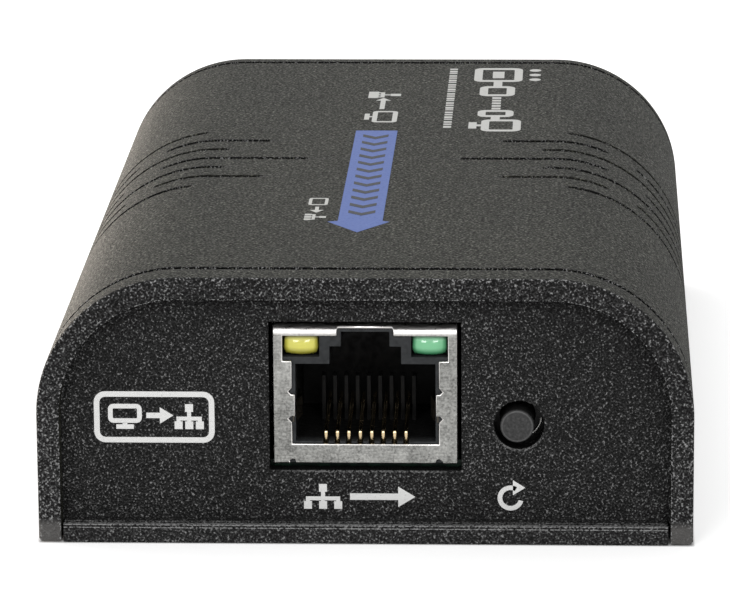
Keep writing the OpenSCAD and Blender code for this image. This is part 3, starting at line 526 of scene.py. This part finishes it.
cover_finish, first, shader = new_finish("cover_plastic")
spot = first.node("ShaderNodeTexCoord", output=3)
pits, paint = spark_grain(spot, end_tones, 0.19 * mm)
height = part_of(spot, 2)
# Painted glints: two bright lines along the top edges of the lip.
lip_upper, lip_lower, lip_line_w, lip_front = 1.63 * mm, 1.37 * mm, 0.05 * mm, 46.2 * mm
lip_glint_lines = near(height, lip_upper, lip_line_w) + near(height, lip_lower, lip_line_w)
lip_glint_lines = lip_glint_lines * rising(part_of(spot, 1).math("ABSOLUTE"), lip_front, 0.1 * mm)
paint = (lip_glint_lines * rising(pits, 0.34, 0.2)).mix(paint, grey(0.34))
coat(first, shader, paint, pits, 0.22 * mm, 0.55)
shader["Specular IOR Level"].default_value = 0.15
finish_piece("bottom_cover_moulding", softened("bottom_cover", 0.12 * mm, 2), cover_finish, "case",
             ["bottom_cover"])


# Network socket: a plated sheet shield folded round a black insert with a comb, eight sprung
# gold-plated wires, and a leaf on each side that touches the plug.
def sheet_metal(name, colour, roughness, scratch, tarnish=0.12, painted_highlight_above=None, painted_edge_highlight=0.0):
    """Plated sheet: fine scratches and pin-head specks in its gloss, slow clouds in its tone, a painted
    highlight on its rounded edges, and a painted highlight above a given height, over a fold."""
    material, first, shader = new_finish(name)
    spot = first.node("ShaderNodeTexCoord", output=3)
    clouds = first.node("ShaderNodeTexNoise", inputs={"Vector": spot, "Scale": 420.0, "Detail": 3.0})
    specks = first.node("ShaderNodeTexNoise", inputs={"Vector": spot, "Scale": 5200.0, "Detail": 2.0})
    streaks = first.node("ShaderNodeMapping", inputs={"Vector": spot, "Scale": (900.0, 900.0, 7000.0)})
    scratches = first.node("ShaderNodeTexNoise", inputs={"Vector": streaks, "Scale": 1.0, "Detail": 3.0})
    tone = (clouds - 0.5) * 1.2 + (specks - 0.5) * 1.5 + (scratches - 0.5) * 0.8 + 0.5
    dark = tuple(c * (1.0 - tarnish * 2) for c in colour) + (1.0,)
    light = tuple(min(c * (1.0 + tarnish * 2), 1.0) for c in colour) + (1.0,)
    paint = tone.clamped().mix(dark, light)
    # Painted highlights on the rounded edges and above a given height.
    on_edge = first.node("ShaderNodeAttribute", {"attribute_name": "on_edge"}, output=2)
    paint = (on_edge * painted_edge_highlight).mix(paint, grey(0.9, 0.03))
    if painted_highlight_above:
        paint = rising(part_of(spot, 2), painted_highlight_above, 0.2 * mm).mix(paint, grey(0.8, 0.02))
    first.tree.links.new(paint.socket, shader["Base Color"])
    gloss = (specks - 0.5) * 0.3 + (scratches - 0.5) * 0.35 + roughness
    first.tree.links.new(gloss.socket, shader["Roughness"])
    relief = scratches * 0.4 + specks
    bump = first.node("ShaderNodeBump", inputs={"Height": relief, "Strength": 0.6, "Distance": scratch})
    first.tree.links.new(bump.socket, shader["Normal"])
    shader["Metallic"].default_value = 1.0
    return material


plated_finish = sheet_metal("plated_sheet", (0.37, 0.37, 0.355), 0.36, 0.012 * mm, tarnish=0.26,
                            painted_highlight_above=18.4 * mm, painted_edge_highlight=0.75)
shield_front, shield_top, notch_half, fold_r = -44.5 * mm, 19.29 * mm, 2.5 * mm, 0.8 * mm


def fold_top_front(bm):
    """Bends the shield's top front corner, beside the notch, round the fold's radius."""
    for k in range(2, 6):
        cut(bm, (0.0, 0.0, shield_top - fold_r * k / 5), (0.0, 0.0, 1.0))
        cut(bm, (0.0, shield_front + fold_r * k / 5, 0.0), (0.0, 1.0, 0.0))
    for x in (notch_half, notch_half - 0.1 * mm):
        for side in (-1, 1):
            cut(bm, (side * x, 0.0, 0.0), (1.0, 0.0, 0.0))
    for v in bm.verts:
        back, down = v.co.y - shield_front, shield_top - v.co.z
        if max(back, down) > fold_r or abs(v.co.x) < notch_half - 1e-6:
            continue
        skin = min(back, down)
        reach = fold_r - skin
        if reach < 1e-7:
            continue
        share = (fold_r - down) / reach if down > back else 2.0 - (fold_r - back) / reach
        turn = share * math.pi / 4
        v.co.y = shield_front + fold_r - reach * math.cos(turn)
        v.co.z = shield_top - fold_r + reach * math.sin(turn)


shield = softened("lan_shield", 0.08 * mm, 2, sharper=35.0, bend=fold_top_front, whole=25.0, clamp=False)
finish_piece("socket_shield", shield, plated_finish, "case", ["lan_shield"],
             flat_over=1.2e-6)

moulded_finish, first, shader = new_finish("socket_plastic")
spot = first.node("ShaderNodeTexCoord", output=3)
pits, paint = spark_grain(spot, [grey(level, -0.05)[:3] for level in (0.03, 0.037, 0.043, 0.05)], 0.5 * mm)
# Painted shade: the plastic darkens inward from the network socket's mouth, and is near black deeper
# inside the case.
recess_mouth, recess_fade = 44.1 * mm, 1.6 * mm
recess_shade = rising(part_of(spot, 1).math("ABSOLUTE") * -1.0, -recess_mouth, recess_fade)
paint = recess_shade.mix(paint, grey(0.0065))
coat(first, shader, paint, pits, 0.012 * mm, 0.5)
shader["Specular IOR Level"].default_value = 0.12
finish_piece("socket_insert", softened("lan_insert", 0.09 * mm, 2), moulded_finish, "case",
             ["lan_insert"])

gold_finish = sheet_metal("gold_contact", (0.86, 0.68, 0.42), 0.18, 0.004 * mm, 0.05)
finish_piece("socket_wires", softened("lan_contacts", 0.13 * mm, 3), gold_finish, "case",
             ["lan_contacts"])

# The leaves' dark tone is painted shade for their place deep in the socket.
leaf_finish = sheet_metal("leaf_sheet", (0.1, 0.09, 0.075), 0.35, 0.01 * mm)
leaf_z, leaf_tall, leaf_t = 11.3 * mm, 1.8 * mm, 0.15 * mm
leaf_line = [(6.32, -44.3), (5.98, -43.2), (5.72, -41.9), (5.85, -40.6), (6.08, -39.6)]
for side, hand in ((-1, "left"), (1, "right")):
    bm = bmesh.new()
    spine = [bm.verts.new((side * x * mm, y * mm, leaf_z - leaf_tall / 2)) for x, y in leaf_line]
    edges = [bm.edges.new(pair) for pair in zip(spine, spine[1:])]
    raised = bmesh.ops.extrude_edge_only(bm, edges=edges)
    upper = [v for v in raised["geom"] if isinstance(v, bmesh.types.BMVert)]
    bmesh.ops.translate(bm, verts=upper, vec=(0.0, 0.0, leaf_tall))
    bmesh.ops.recalc_face_normals(bm, faces=bm.faces[:])
    bmesh.ops.solidify(bm, geom=bm.faces[:], thickness=leaf_t)
    bmesh.ops.recalc_face_normals(bm, faces=bm.faces[:])
    finish_piece("socket_leaf_" + hand, bm, leaf_finish, "case", crease=50.0)


# Lamps of the network socket: clear coloured bars beside the latch way, each with a polished
# domed end that fills its corner of the shield's window.
def lens_finish(name, deep, body, crest, low, high):
    """Tinted clear plastic with painted light: deep in tone at its foot, paler above, and painted shade at
    both ends.
    """
    material, first, shader = new_finish(name)
    spot = first.node("ShaderNodeTexCoord", output=3)
    height = rising(part_of(spot, 2), low.z, high.z - low.z)
    from_middle = (part_of(spot, 0) - (low.x + high.x) / 2).math("ABSOLUTE")
    # Painted shade: darker towards both ends of the lens.
    end_shade = rising(from_middle, 0.36 * (high.x - low.x), 0.15 * (high.x - low.x))
    cloud = first.node("ShaderNodeTexNoise", inputs={"Vector": spot, "Scale": 900.0, "Detail": 2.0})
    stops = [(0.0, deep + (1.0,)), (0.38, body + (1.0,)), (0.7, body + (1.0,)), (1.0, crest + (1.0,))]
    tint = first.node("ShaderNodeValToRGB", {"stops": stops}, {"Fac": height + (cloud - 0.5) * 0.12})
    first.tree.links.new((end_shade * 0.75).mix(tint, deep + (1.0,)).socket, shader["Base Color"])
    shader["Roughness"].default_value = 0.07
    shader["Specular IOR Level"].default_value = 0.6
    shader["Coat Weight"].default_value = 0.6
    shader["Coat Roughness"].default_value = 0.04
    return material


lamp_dome, lamp_chin = 0.3 * mm, 0.25 * mm
lamp_crown_r, lamp_barrel_r = 4.5 * mm, 1.12 * mm
lamp_tints = {
    "lan_lamp_yellow": ("yellow_lamp", (0.16, 0.14, 0.01), (0.77, 0.73, 0.12), (0.92, 0.89, 0.45)),
    "lan_lamp_green": ("green_lamp", (0.01, 0.13, 0.05), (0.2, 0.6, 0.31), (0.55, 0.86, 0.65)),
}
for node, (slot_name, deep, body_tint, crest) in lamp_tints.items():
    low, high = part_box(node)
    middle, half = (low + high) / 2, (high - low) / 2
    bm = bmesh.new()
    bmesh.ops.create_grid(bm, x_segments=20, y_segments=16, size=1.0)
    for v in bm.verts:
        u, t = v.co.x, v.co.y
        rounding = 0.22 if t < 0 else 0.02
        reach = min((u ** 6 + t ** 6) ** (1 / 6), 1.0)
        drop = lamp_dome * (1 - math.sqrt(1 - (0.97 * reach) ** 2))
        drop += (half.x * u) ** 2 / (2 * lamp_crown_r)
        if t > 0:
            drop += lamp_barrel_r - math.sqrt(lamp_barrel_r ** 2 - (0.9 * half.z * t) ** 2)
        else:
            drop += lamp_chin * t * t
        v.co = (middle.x + half.x * u * math.sqrt(1 - rounding * t * t), low.y + drop,
                middle.z + half.z * t * math.sqrt(1 - rounding * u * u))
    rim_edges = [e for e in bm.edges if len(e.link_faces) == 1]
    pulled = bmesh.ops.extrude_edge_only(bm, edges=rim_edges)
    for v in pulled["geom"]:
        if isinstance(v, bmesh.types.BMVert):
            v.co.y = high.y
    bmesh.ops.holes_fill(bm, edges=[e for e in bm.edges if len(e.link_faces) == 1])
    bmesh.ops.recalc_face_normals(bm, faces=bm.faces[:])
    finish = lens_finish(slot_name, deep, body_tint, crest, low, high)
    finish_piece(node.replace("lan_lamp", "socket_lamp"), bm, finish, "case", [node],
                 crease=60.0)


# Reset button: a round black plunger on its switch, behind a hole in the front panel. The
# switch is a moulded body in a folded steel frame, whose polished lip shows past the plunger.
button_finish, first, shader = new_finish("button_plastic")
spot = first.node("ShaderNodeTexCoord", output=3)
pits, paint = spark_grain(spot, [grey(level)[:3] for level in (0.026, 0.036, 0.045, 0.07)], 0.22 * mm)
# Painted shade: the plunger's flank behind its face, inside the hole, is near black.
flank_front, flank_fade = -44.95 * mm, 0.3 * mm
flank_shade = rising(part_of(spot, 1), flank_front, flank_fade)
low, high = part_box("reset_button")
middle_x, middle_z, flange_r = (low.x + high.x) / 2, (low.z + high.z) / 2, (high.x - low.x) / 2
# Painted highlight: a lighter ring just inside the edge of the plunger's face.
glint_ring_inset, glint_ring_w = 0.86 * mm, 0.08 * mm
aside, upwards = part_of(spot, 0) - middle_x, part_of(spot, 2) - middle_z
from_axis = (aside * aside + upwards * upwards).math("SQRT")
face_ring_glint = near(from_axis, flange_r - glint_ring_inset, glint_ring_w)
paint = (face_ring_glint * 0.45).mix(paint, grey(0.14))
coat(first, shader, flank_shade.mix(paint, grey(0.012)), pits, 0.02 * mm, 0.5)
shader["Specular IOR Level"].default_value = 0.3
finish_piece("reset_plunger", softened("reset_button", 0.2 * mm, 4), button_finish, "button",
             ["reset_button"])

tinned_finish = sheet_metal("tinned_metal", (0.62, 0.61, 0.58), 0.3, 0.006 * mm, 0.08)
# Painted shade: the switch frame is near black because it lies in shade behind the panel.
shaded_frame_finish = sheet_metal("shaded_sheet", (0.035, 0.035, 0.035), 0.4, 0.008 * mm)
finish_piece("switch_frame", softened("reset_switch_frame", 0.06 * mm, 2), shaded_frame_finish, "case",
             ["reset_switch_frame"])
plunger_at = Vector((middle_x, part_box("reset_switch_frame")[0].y, middle_z))
lip_r, lip_t, lip_start, lip_turn = 2.14 * mm, 0.17 * mm, math.radians(6.0), math.radians(74.0)
bm = bmesh.new()
bmesh.ops.create_circle(bm, segments=12, radius=lip_t, cap_ends=True,
                        matrix=Matrix.Translation(plunger_at + Vector((lip_r, 0.0, 0.0))))
bmesh.ops.rotate(bm, verts=bm.verts, cent=plunger_at, matrix=Matrix.Rotation(lip_start, 3, "Y"))
bmesh.ops.spin(bm, geom=bm.faces[:], cent=plunger_at, axis=(0.0, 1.0, 0.0), angle=lip_turn,
               steps=24, use_merge=False, use_duplicate=False)
bmesh.ops.remove_doubles(bm, verts=bm.verts[:], dist=1e-7)
bmesh.ops.recalc_face_normals(bm, faces=bm.faces[:])
lip_finish = sheet_metal("polished_lip", (0.93, 0.92, 0.89), 0.36, 0.002 * mm, 0.04)
finish_piece("switch_lip", bm, lip_finish, "case", crease=70.0)
finish_piece("switch_body", softened("reset_switch_body", 0.08 * mm, 2), moulded_finish, "case",
             ["reset_switch_body"])


# Snap dome: a stamped cap of thin spring metal. Its rim rests on the floor of the switch and
# its crown under the plunger, which flattens the real dome as it goes in; this piece is drawn at rest.
low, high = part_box("reset_snap_dome")
rise, dome_r, dome_wall = high.y - low.y, (high.x - low.x) / 2, 0.1 * mm
bend_r = (dome_r ** 2 + rise ** 2) / (2 * rise)
crown = Vector(((low.x + high.x) / 2, low.y, (low.z + high.z) / 2))
bm = bmesh.new()
bmesh.ops.create_uvsphere(bm, u_segments=48, v_segments=64, radius=bend_r)
bmesh.ops.rotate(bm, verts=bm.verts, matrix=Matrix.Rotation(math.pi / 2, 3, "X"))
bmesh.ops.translate(bm, verts=bm.verts, vec=crown + Vector((0.0, bend_r, 0.0)))
for deep in (rise + 2.0 * dome_wall, rise):
    trimmed = bmesh.ops.bisect_plane(bm, geom=bm.verts[:] + bm.edges[:] + bm.faces[:],
                                     plane_co=crown + Vector((0.0, deep, 0.0)),
                                     plane_no=(0.0, 1.0, 0.0), clear_outer=True)
    if deep > rise:
        bmesh.ops.solidify(bm, geom=bm.faces[:], thickness=dome_wall)
rim_loops = [e for e in trimmed["geom_cut"] if isinstance(e, bmesh.types.BMEdge)]
bmesh.ops.bridge_loops(bm, edges=rim_loops)
bmesh.ops.recalc_face_normals(bm, faces=bm.faces[:])
dome = finish_piece("snap_dome", bm, tinned_finish, None, ["reset_snap_dome"])
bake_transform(dome)


# Rear sockets and lights: the video socket's drawn steel shell with its tongue and contacts,
# the moulded power and infra-red jacks, and two small domed lights, all set in the rear panel.
rear_pieces = [
    ("video_shell", "video_socket_shield", 0.07, plated_finish, "socket_shield"),
    ("video_tongue", "video_socket_tongue", 0.08, moulded_finish, "socket_plastic"),
    ("video_contacts", "video_socket_contacts", 0.05, gold_finish, "gold_contact"),
    ("power_jack", "power_jack_body", 0.15, moulded_finish, "socket_plastic"),
    ("power_pin", "power_jack_pin", 0.2, tinned_finish, "tinned_metal"),
    ("power_spring", "power_jack_spring", 0.05, tinned_finish, "tinned_metal"),
    ("infra_red_jack", "ir_jack_body", 0.15, moulded_finish, "socket_plastic"),
]
for name, node, radius, finish, slot_name in rear_pieces:
    finish_piece(name, softened(node, radius * mm, 2), finish, "case", [node])
rear_lights = [
    ("power_lens", "power_light", "red_lamp", (0.12, 0.0, 0.0), (0.5, 0.02, 0.015), (0.7, 0.1, 0.08)),
    ("link_lens", "link_light", "blue_lamp", (0.0, 0.01, 0.12), (0.02, 0.07, 0.5), (0.1, 0.2, 0.7)),
]
for name, node, slot_name, deep, body_tint, crest in rear_lights:
    low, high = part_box(node)
    finish = lens_finish(slot_name, deep, body_tint, crest, low, high)
    finish_piece(name, softened(node, 0.1 * mm, 2), finish, "case", [node])


# Screws and the loaded board: the board with its chips, cans, coils and heat sink stays as the
# construction gives it, each part in the finish of its own stuff.
def plain_stuff(name, dark, light, scale, roughness, metallic=0.0, stretch=(1.0, 1.0, 1.0), relief=0.01):
    """A finish of one stuff: two tones in a grain of a given scale and stretch."""
    material, first, shader = new_finish(name)
    spot = first.node("ShaderNodeTexCoord", output=3)
    scales = tuple(s * scale for s in stretch)
    drawn = first.node("ShaderNodeMapping", inputs={"Vector": spot, "Scale": scales})
    grain = first.node("ShaderNodeTexNoise", inputs={"Vector": drawn, "Scale": 1.0, "Detail": 3.0})
    first.tree.links.new(grain.mix(dark + (1.0,), light + (1.0,)).socket, shader["Base Color"])
    first.tree.links.new(((grain - 0.5) * 0.4 + roughness).socket, shader["Roughness"])
    bump = first.node("ShaderNodeBump", inputs={"Height": grain, "Strength": 0.6, "Distance": relief * mm})
    first.tree.links.new(bump.socket, shader["Normal"])
    shader["Metallic"].default_value = metallic
    return material


screw_finish = plain_stuff("screw_steel", (0.1, 0.1, 0.105), (0.34, 0.34, 0.34), 2600.0, 0.34, 1.0)
finish_piece("cover_fixings", softened("cover_screws", 0.06 * mm, 2), screw_finish, "case",
             ["cover_screws"])

board_finish, first, shader = new_finish("board")
spot = first.node("ShaderNodeTexCoord", output=3)
lanes = first.node("ShaderNodeMapping", inputs={"Vector": spot, "Scale": (700.0, 90.0, 1.0)})
tracks = first.node("ShaderNodeTexNoise", inputs={"Vector": lanes, "Scale": 1.0, "Detail": 1.0})
sunk = rising(tracks, 0.5, 0.03)
mask = sunk.mix((0.002, 0.011, 0.007, 1.0), (0.005, 0.028, 0.015, 1.0))
first.tree.links.new(mask.socket, shader["Base Color"])
first.tree.links.new((tracks * 0.2 + 0.25).socket, shader["Roughness"])
bump = first.node("ShaderNodeBump", inputs={"Height": sunk, "Strength": 0.5, "Distance": 0.03 * mm})
first.tree.links.new(bump.socket, shader["Normal"])
finishes = {
    "board": board_finish,
    "screw_steel": screw_finish,
    "tinned_metal": tinned_finish,
    "socket_plastic": moulded_finish,
    "chip_plastic": plain_stuff("chip_plastic", (0.008, 0.008, 0.009), (0.03, 0.03, 0.032), 5000.0, 0.5),
    "thermal_pad": plain_stuff("thermal_pad", (0.18, 0.24, 0.3), (0.3, 0.38, 0.45), 1800.0, 0.7),
    "heat_sink": plain_stuff("heat_sink", (0.32, 0.32, 0.33), (0.6, 0.6, 0.6), 900.0, 0.35, 1.0,
                             (6.0, 0.4, 6.0)),
    "capacitor_can": plain_stuff("capacitor_can", (0.4, 0.4, 0.41), (0.68, 0.68, 0.68), 1500.0, 0.3, 1.0),
    "ferrite": plain_stuff("ferrite", (0.025, 0.024, 0.023), (0.08, 0.078, 0.074), 3500.0, 0.65,
                           relief=0.03),
    "ceramic": plain_stuff("ceramic", (0.3, 0.19, 0.1), (0.5, 0.36, 0.22), 4000.0, 0.4),
}
inner_nodes = {
    "board": ["main_board"],
    "screw_steel": ["board_screws"],
    "tinned_metal": ["chip_leads", "crystals", "ir_jack_contacts", "reset_switch_terminals"],
    "chip_plastic": ["flash_chip", "lan_transformer", "memory_chip", "network_chip", "processor",
                     "video_receiver", "voltage_regulators"],
    "thermal_pad": ["thermal_pad"],
    "heat_sink": ["heat_sink"],
    "capacitor_can": ["electrolytic_capacitors"],
    "ferrite": ["power_inductors"],
    "ceramic": ["chip_capacitors"],
}
for stuff, nodes in inner_nodes.items():
    for node in nodes:
        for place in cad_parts[node].material_slots:
            place.material = finishes[stuff]


# Prints: flat screen-printed signs in blue and white ink on the top and the panels. All are
# plain pictograms: an arrow towards the network end, a wiring sketch, and port signs.
ink_t, ink_sunk = 0.02 * mm, 0.004 * mm


def ink(name, colour, worn):
    """Screen ink on grained plastic: matt, with the grain showing and a few thin spots."""
    material, first, shader = new_finish(name)
    spot = first.node("ShaderNodeTexCoord", output=3)
    grain = first.node("ShaderNodeTexNoise", inputs={"Vector": spot, "Scale": 4200.0, "Detail": 2.5})
    thin = rising(grain, 0.62, 0.1)
    fade = tuple(c * worn for c in colour)
    first.tree.links.new(thin.mix(colour + (1.0,), fade + (1.0,)).socket, shader["Base Color"])
    first.tree.links.new((grain * 0.3 + 0.4).socket, shader["Roughness"])
    bump = first.node("ShaderNodeBump", inputs={"Height": grain, "Strength": 0.7, "Distance": 0.05 * mm})
    first.tree.links.new(bump.socket, shader["Normal"])
    shader["Specular IOR Level"].default_value = 0.25
    return material


white_ink = ink("white_ink", (0.8, 0.8, 0.79), 0.75)
soft_white_ink = ink("top_white_ink", (0.62, 0.62, 0.6), 0.7)
blue_ink = ink("blue_ink", (0.1, 0.16, 0.43), 0.8)
dark_ink = ink("dark_ink", (0.025, 0.028, 0.035), 1.6)


def shape(bm, points):
    """A flat face on points given in millimetres."""
    return add_face(bm, [(x * mm, y * mm, 0.0) for x, y in points])


def bar(bm, x0, y0, x1, y1):
    """A level rectangle between two corners."""
    return shape(bm, [(x0, y0), (x1, y0), (x1, y1), (x0, y1)])


def box_line(bm, x0, y0, x1, y1, line, corner):
    """A rounded box drawn in a line of even width."""
    face = bar(bm, x0, y0, x1, y1)
    bmesh.ops.bevel(bm, geom=list(face.verts), offset=corner * mm, offset_type="OFFSET", segments=5,
                    profile=0.5, affect="VERTICES", material=-1, clamp_overlap=True)
    middle = Vector(((x0 + x1) / 2 * mm, (y0 + y1) / 2 * mm, 0.0))
    whole = min(bm.faces, key=lambda f: (f.calc_center_median() - middle).length)
    bmesh.ops.inset_region(bm, faces=[whole], thickness=line * mm, use_even_offset=True, use_boundary=True)
    bmesh.ops.delete(bm, geom=[whole], context="FACES_ONLY")


def disc(bm, x, y, r):
    """A round dot."""
    middle = Matrix.Translation((x * mm, y * mm, 0.0))
    bmesh.ops.create_circle(bm, cap_ends=True, segments=20, radius=r * mm, matrix=middle)


def arc_line(bm, x, y, r, line, start, sweep):
    """Part of a ring, from a start angle through a sweep, in degrees."""
    turn = math.radians(start)
    ends = [bm.verts.new(((x + k * math.cos(turn)) * mm, (y + k * math.sin(turn)) * mm, 0.0))
            for k in (r - line / 2, r + line / 2)]
    bmesh.ops.spin(bm, geom=ends + [bm.edges.new(ends)], cent=(x * mm, y * mm, 0.0), axis=(0.0, 0.0, 1.0),
                   angle=math.radians(sweep), steps=24, use_merge=False, use_duplicate=False)


def screen_sign(bm, x, y, w, h, line):
    """A screen on its foot, standing upright on the point given."""
    box_line(bm, x - w / 2, y + 0.24 * h, x + w / 2, y + h, line, 1.15 * line)
    bar(bm, x - line / 2, y + line, x + line / 2, y + 0.24 * h + 0.02)
    bar(bm, x - 0.26 * w, y, x + 0.26 * w, y + line)


def network_sign(bm, x, y, w, h, line):
    """One station joined by a line to three below it."""
    station = 0.31 * h
    bar(bm, x - station / 2, y + h - station, x + station / 2, y + h)
    bar(bm, x - line / 2, y + 0.5 * h, x + line / 2, y + h - station)
    trunk_half = (w - station + line) / 2
    bar(bm, x - trunk_half, y + 0.5 * h - line, x + trunk_half, y + 0.5 * h)
    for place in (-1, 0, 1):
        middle = x + place * (w - station) / 2
        bar(bm, middle - line / 2, y + station, middle + line / 2, y + 0.5 * h - line)
        bar(bm, middle - station / 2, y, middle + station / 2, y + station)


def arrow_sign(bm, x0, x1, y, shaft, head):
    """A level arrow from x0 to its tip at x1."""
    way = math.copysign(1.0, x1 - x0)
    neck = x1 - way * 0.8 * head
    shape(bm, [(x0, y - shaft / 2), (neck, y - shaft / 2), (neck, y - head / 2), (x1, y),
               (neck, y + head / 2), (neck, y + shaft / 2), (x0, y + shaft / 2)])


def printed(name, bm, finish, frame_of_print):
    """Gives flat signs the thickness of ink and lays them on their surface."""
    bmesh.ops.recalc_face_normals(bm, faces=bm.faces[:])
    for face in bm.faces:
        if face.normal.z < 0:
            face.normal_flip()
    raised = bmesh.ops.extrude_face_region(bm, geom=bm.faces[:], use_keep_orig=True)
    upper = [v for v in raised["geom"] if isinstance(v, bmesh.types.BMVert)]
    bmesh.ops.translate(bm, verts=upper, vec=(0.0, 0.0, ink_t))
    bmesh.ops.translate(bm, verts=bm.verts[:], vec=(0.0, 0.0, -ink_sunk))
    bmesh.ops.recalc_face_normals(bm, faces=bm.faces[:])
    bmesh.ops.transform(bm, matrix=frame_of_print, verts=bm.verts[:])
    finish_piece(name, bm, finish, "case", crease=30.0, flat_over=1e-9)


on_top = Matrix.Translation((0.0, 0.0, shell_top))
bm = bmesh.new()
shape(bm, [(-3.25, 12.2), (-3.25, -25.6), (-4.17, -25.9), (-1.3, -29.95), (1.5, -25.9),
           (0.85, -25.6), (0.85, 12.2)])
printed("arrow_print", bm, blue_ink, on_top)
bm = bmesh.new()
middle, reach, thick, pitch = -1.2, 1.25, 1.05, 2.9
for i in range(12):
    tip = -23.6 + i * pitch
    shape(bm, [(middle, tip), (middle - reach, tip + 1.1), (middle - reach, tip + 1.1 + thick),
               (middle, tip + thick), (middle + reach, tip + 1.1 + thick), (middle + reach, tip + 1.1)])
printed("arrow_chevrons_print", bm, dark_ink,
        on_top @ Matrix.Translation((0.0, 0.0, ink_t - 1.5 * ink_sunk)))

quarter = Matrix.Rotation(-math.pi / 2, 4, "Z")
bm = bmesh.new()
screen_sign(bm, -18.6, -2.7, 5.2, 3.3, 0.5)
arrow_sign(bm, -24.6, -27.4, -1.1, 0.5, 1.5)
bar(bm, -24.6, -1.35, -22.2, -0.85)
network_sign(bm, -28.9, -2.7, 3.0, 3.3, 0.4)
printed("interface_print", bm, soft_white_ink, on_top @ quarter)

bm = bmesh.new()
box_line(bm, 16.6, -6.3, 19.4, -4.5, 0.3, 0.36)
arrow_sign(bm, 20.1, 22.4, -5.4, 0.35, 1.3)
network_sign(bm, 24.1, -6.4, 2.4, 2.0, 0.28)
printed("sender_print", bm, soft_white_ink, on_top @ quarter)

bm = bmesh.new()
box_line(bm, -42.2, 7.9, -35.4, 12.9, 0.85, 0.95)
bar(bm, -40.4, 9.8, -37.2, 11.0)
for x in (-41.1, -38.8, -36.5):
    disc(bm, x, 14.2, 0.6)
bar(bm, -35.4, 9.95, -33.2, 10.85)
box_line(bm, -33.2, 8.6, -28.4, 12.2, 0.85, 0.95)
for k in range(5):
    bar(bm, -27.9 + 1.25 * k, 9.95, -27.1 + 1.25 * k, 10.85)
box_line(bm, -21.8, 8.6, -18.6, 12.2, 0.8, 0.9)
bar(bm, -18.6, 9.95, -17.4, 10.85)
screen_sign(bm, -14.7, 7.8, 5.4, 5.2, 0.8)
printed("wiring_print", bm, soft_white_ink, on_top @ quarter)
bm = bmesh.new()
for k in range(26):
    length = (0.6, 0.8, 0.45, 0.7)[k % 4]
    bar(bm, -41.9 + 1.1 * k, 5.3, -41.9 + 1.1 * k + length, 6.1)
printed("rule_print", bm, soft_white_ink, on_top @ quarter)

upright, half_turn = Matrix.Rotation(math.pi / 2, 4, "X"), Matrix.Rotation(math.pi, 4, "Z")
on_front = Matrix.Translation((0.0, -panel_face, 0.0)) @ upright
bm = bmesh.new()
box_line(bm, -24.05, 8.65, -13.35, 13.35, 0.5, 1.0)
screen_sign(bm, -21.3, 9.9, 3.0, 2.3, 0.42)
arrow_sign(bm, -19.4, -17.0, 11.15, 0.5, 1.5)
network_sign(bm, -15.6, 9.9, 2.6, 2.3, 0.36)
printed("sign_frame_print", bm, white_ink, on_front)

bm = bmesh.new()
network_sign(bm, -3.8, 2.6, 3.4, 2.3, 0.36)
arrow_sign(bm, -1.4, 4.4, 3.75, 0.6, 1.9)
printed("network_sign_print", bm, white_ink, on_front)

bm = bmesh.new()
arc_line(bm, 12.85, 3.7, 0.95, 0.42, 60.0, 285.0)
shape(bm, [(13.05, 5.35), (13.05, 3.95), (14.15, 4.65)])
printed("reset_sign_print", bm, white_ink, on_front)

on_rear = Matrix.Translation((0.0, panel_face, 0.0)) @ half_turn @ upright
bm = bmesh.new()
screen_sign(bm, -10.6, 3.0, 3.0, 2.3, 0.36)
arrow_sign(bm, -8.4, -5.4, 4.3, 0.5, 1.5)
disc(bm, 3.2, 4.1, 0.4)
for r in (1.1, 1.8):
    arc_line(bm, 3.2, 4.1, r, 0.36, -40.0, 80.0)
arc_line(bm, 14.5, 4.0, 1.0, 0.36, 130.0, 280.0)
bar(bm, 14.3, 4.2, 14.7, 5.6)
network_sign(bm, -22.3, 3.2, 2.2, 1.7, 0.26)
arc_line(bm, -18.6, 3.9, 0.7, 0.28, 130.0, 280.0)
bar(bm, -18.75, 4.0, -18.45, 5.0)
printed("rear_signs_print", bm, white_ink, on_rear)
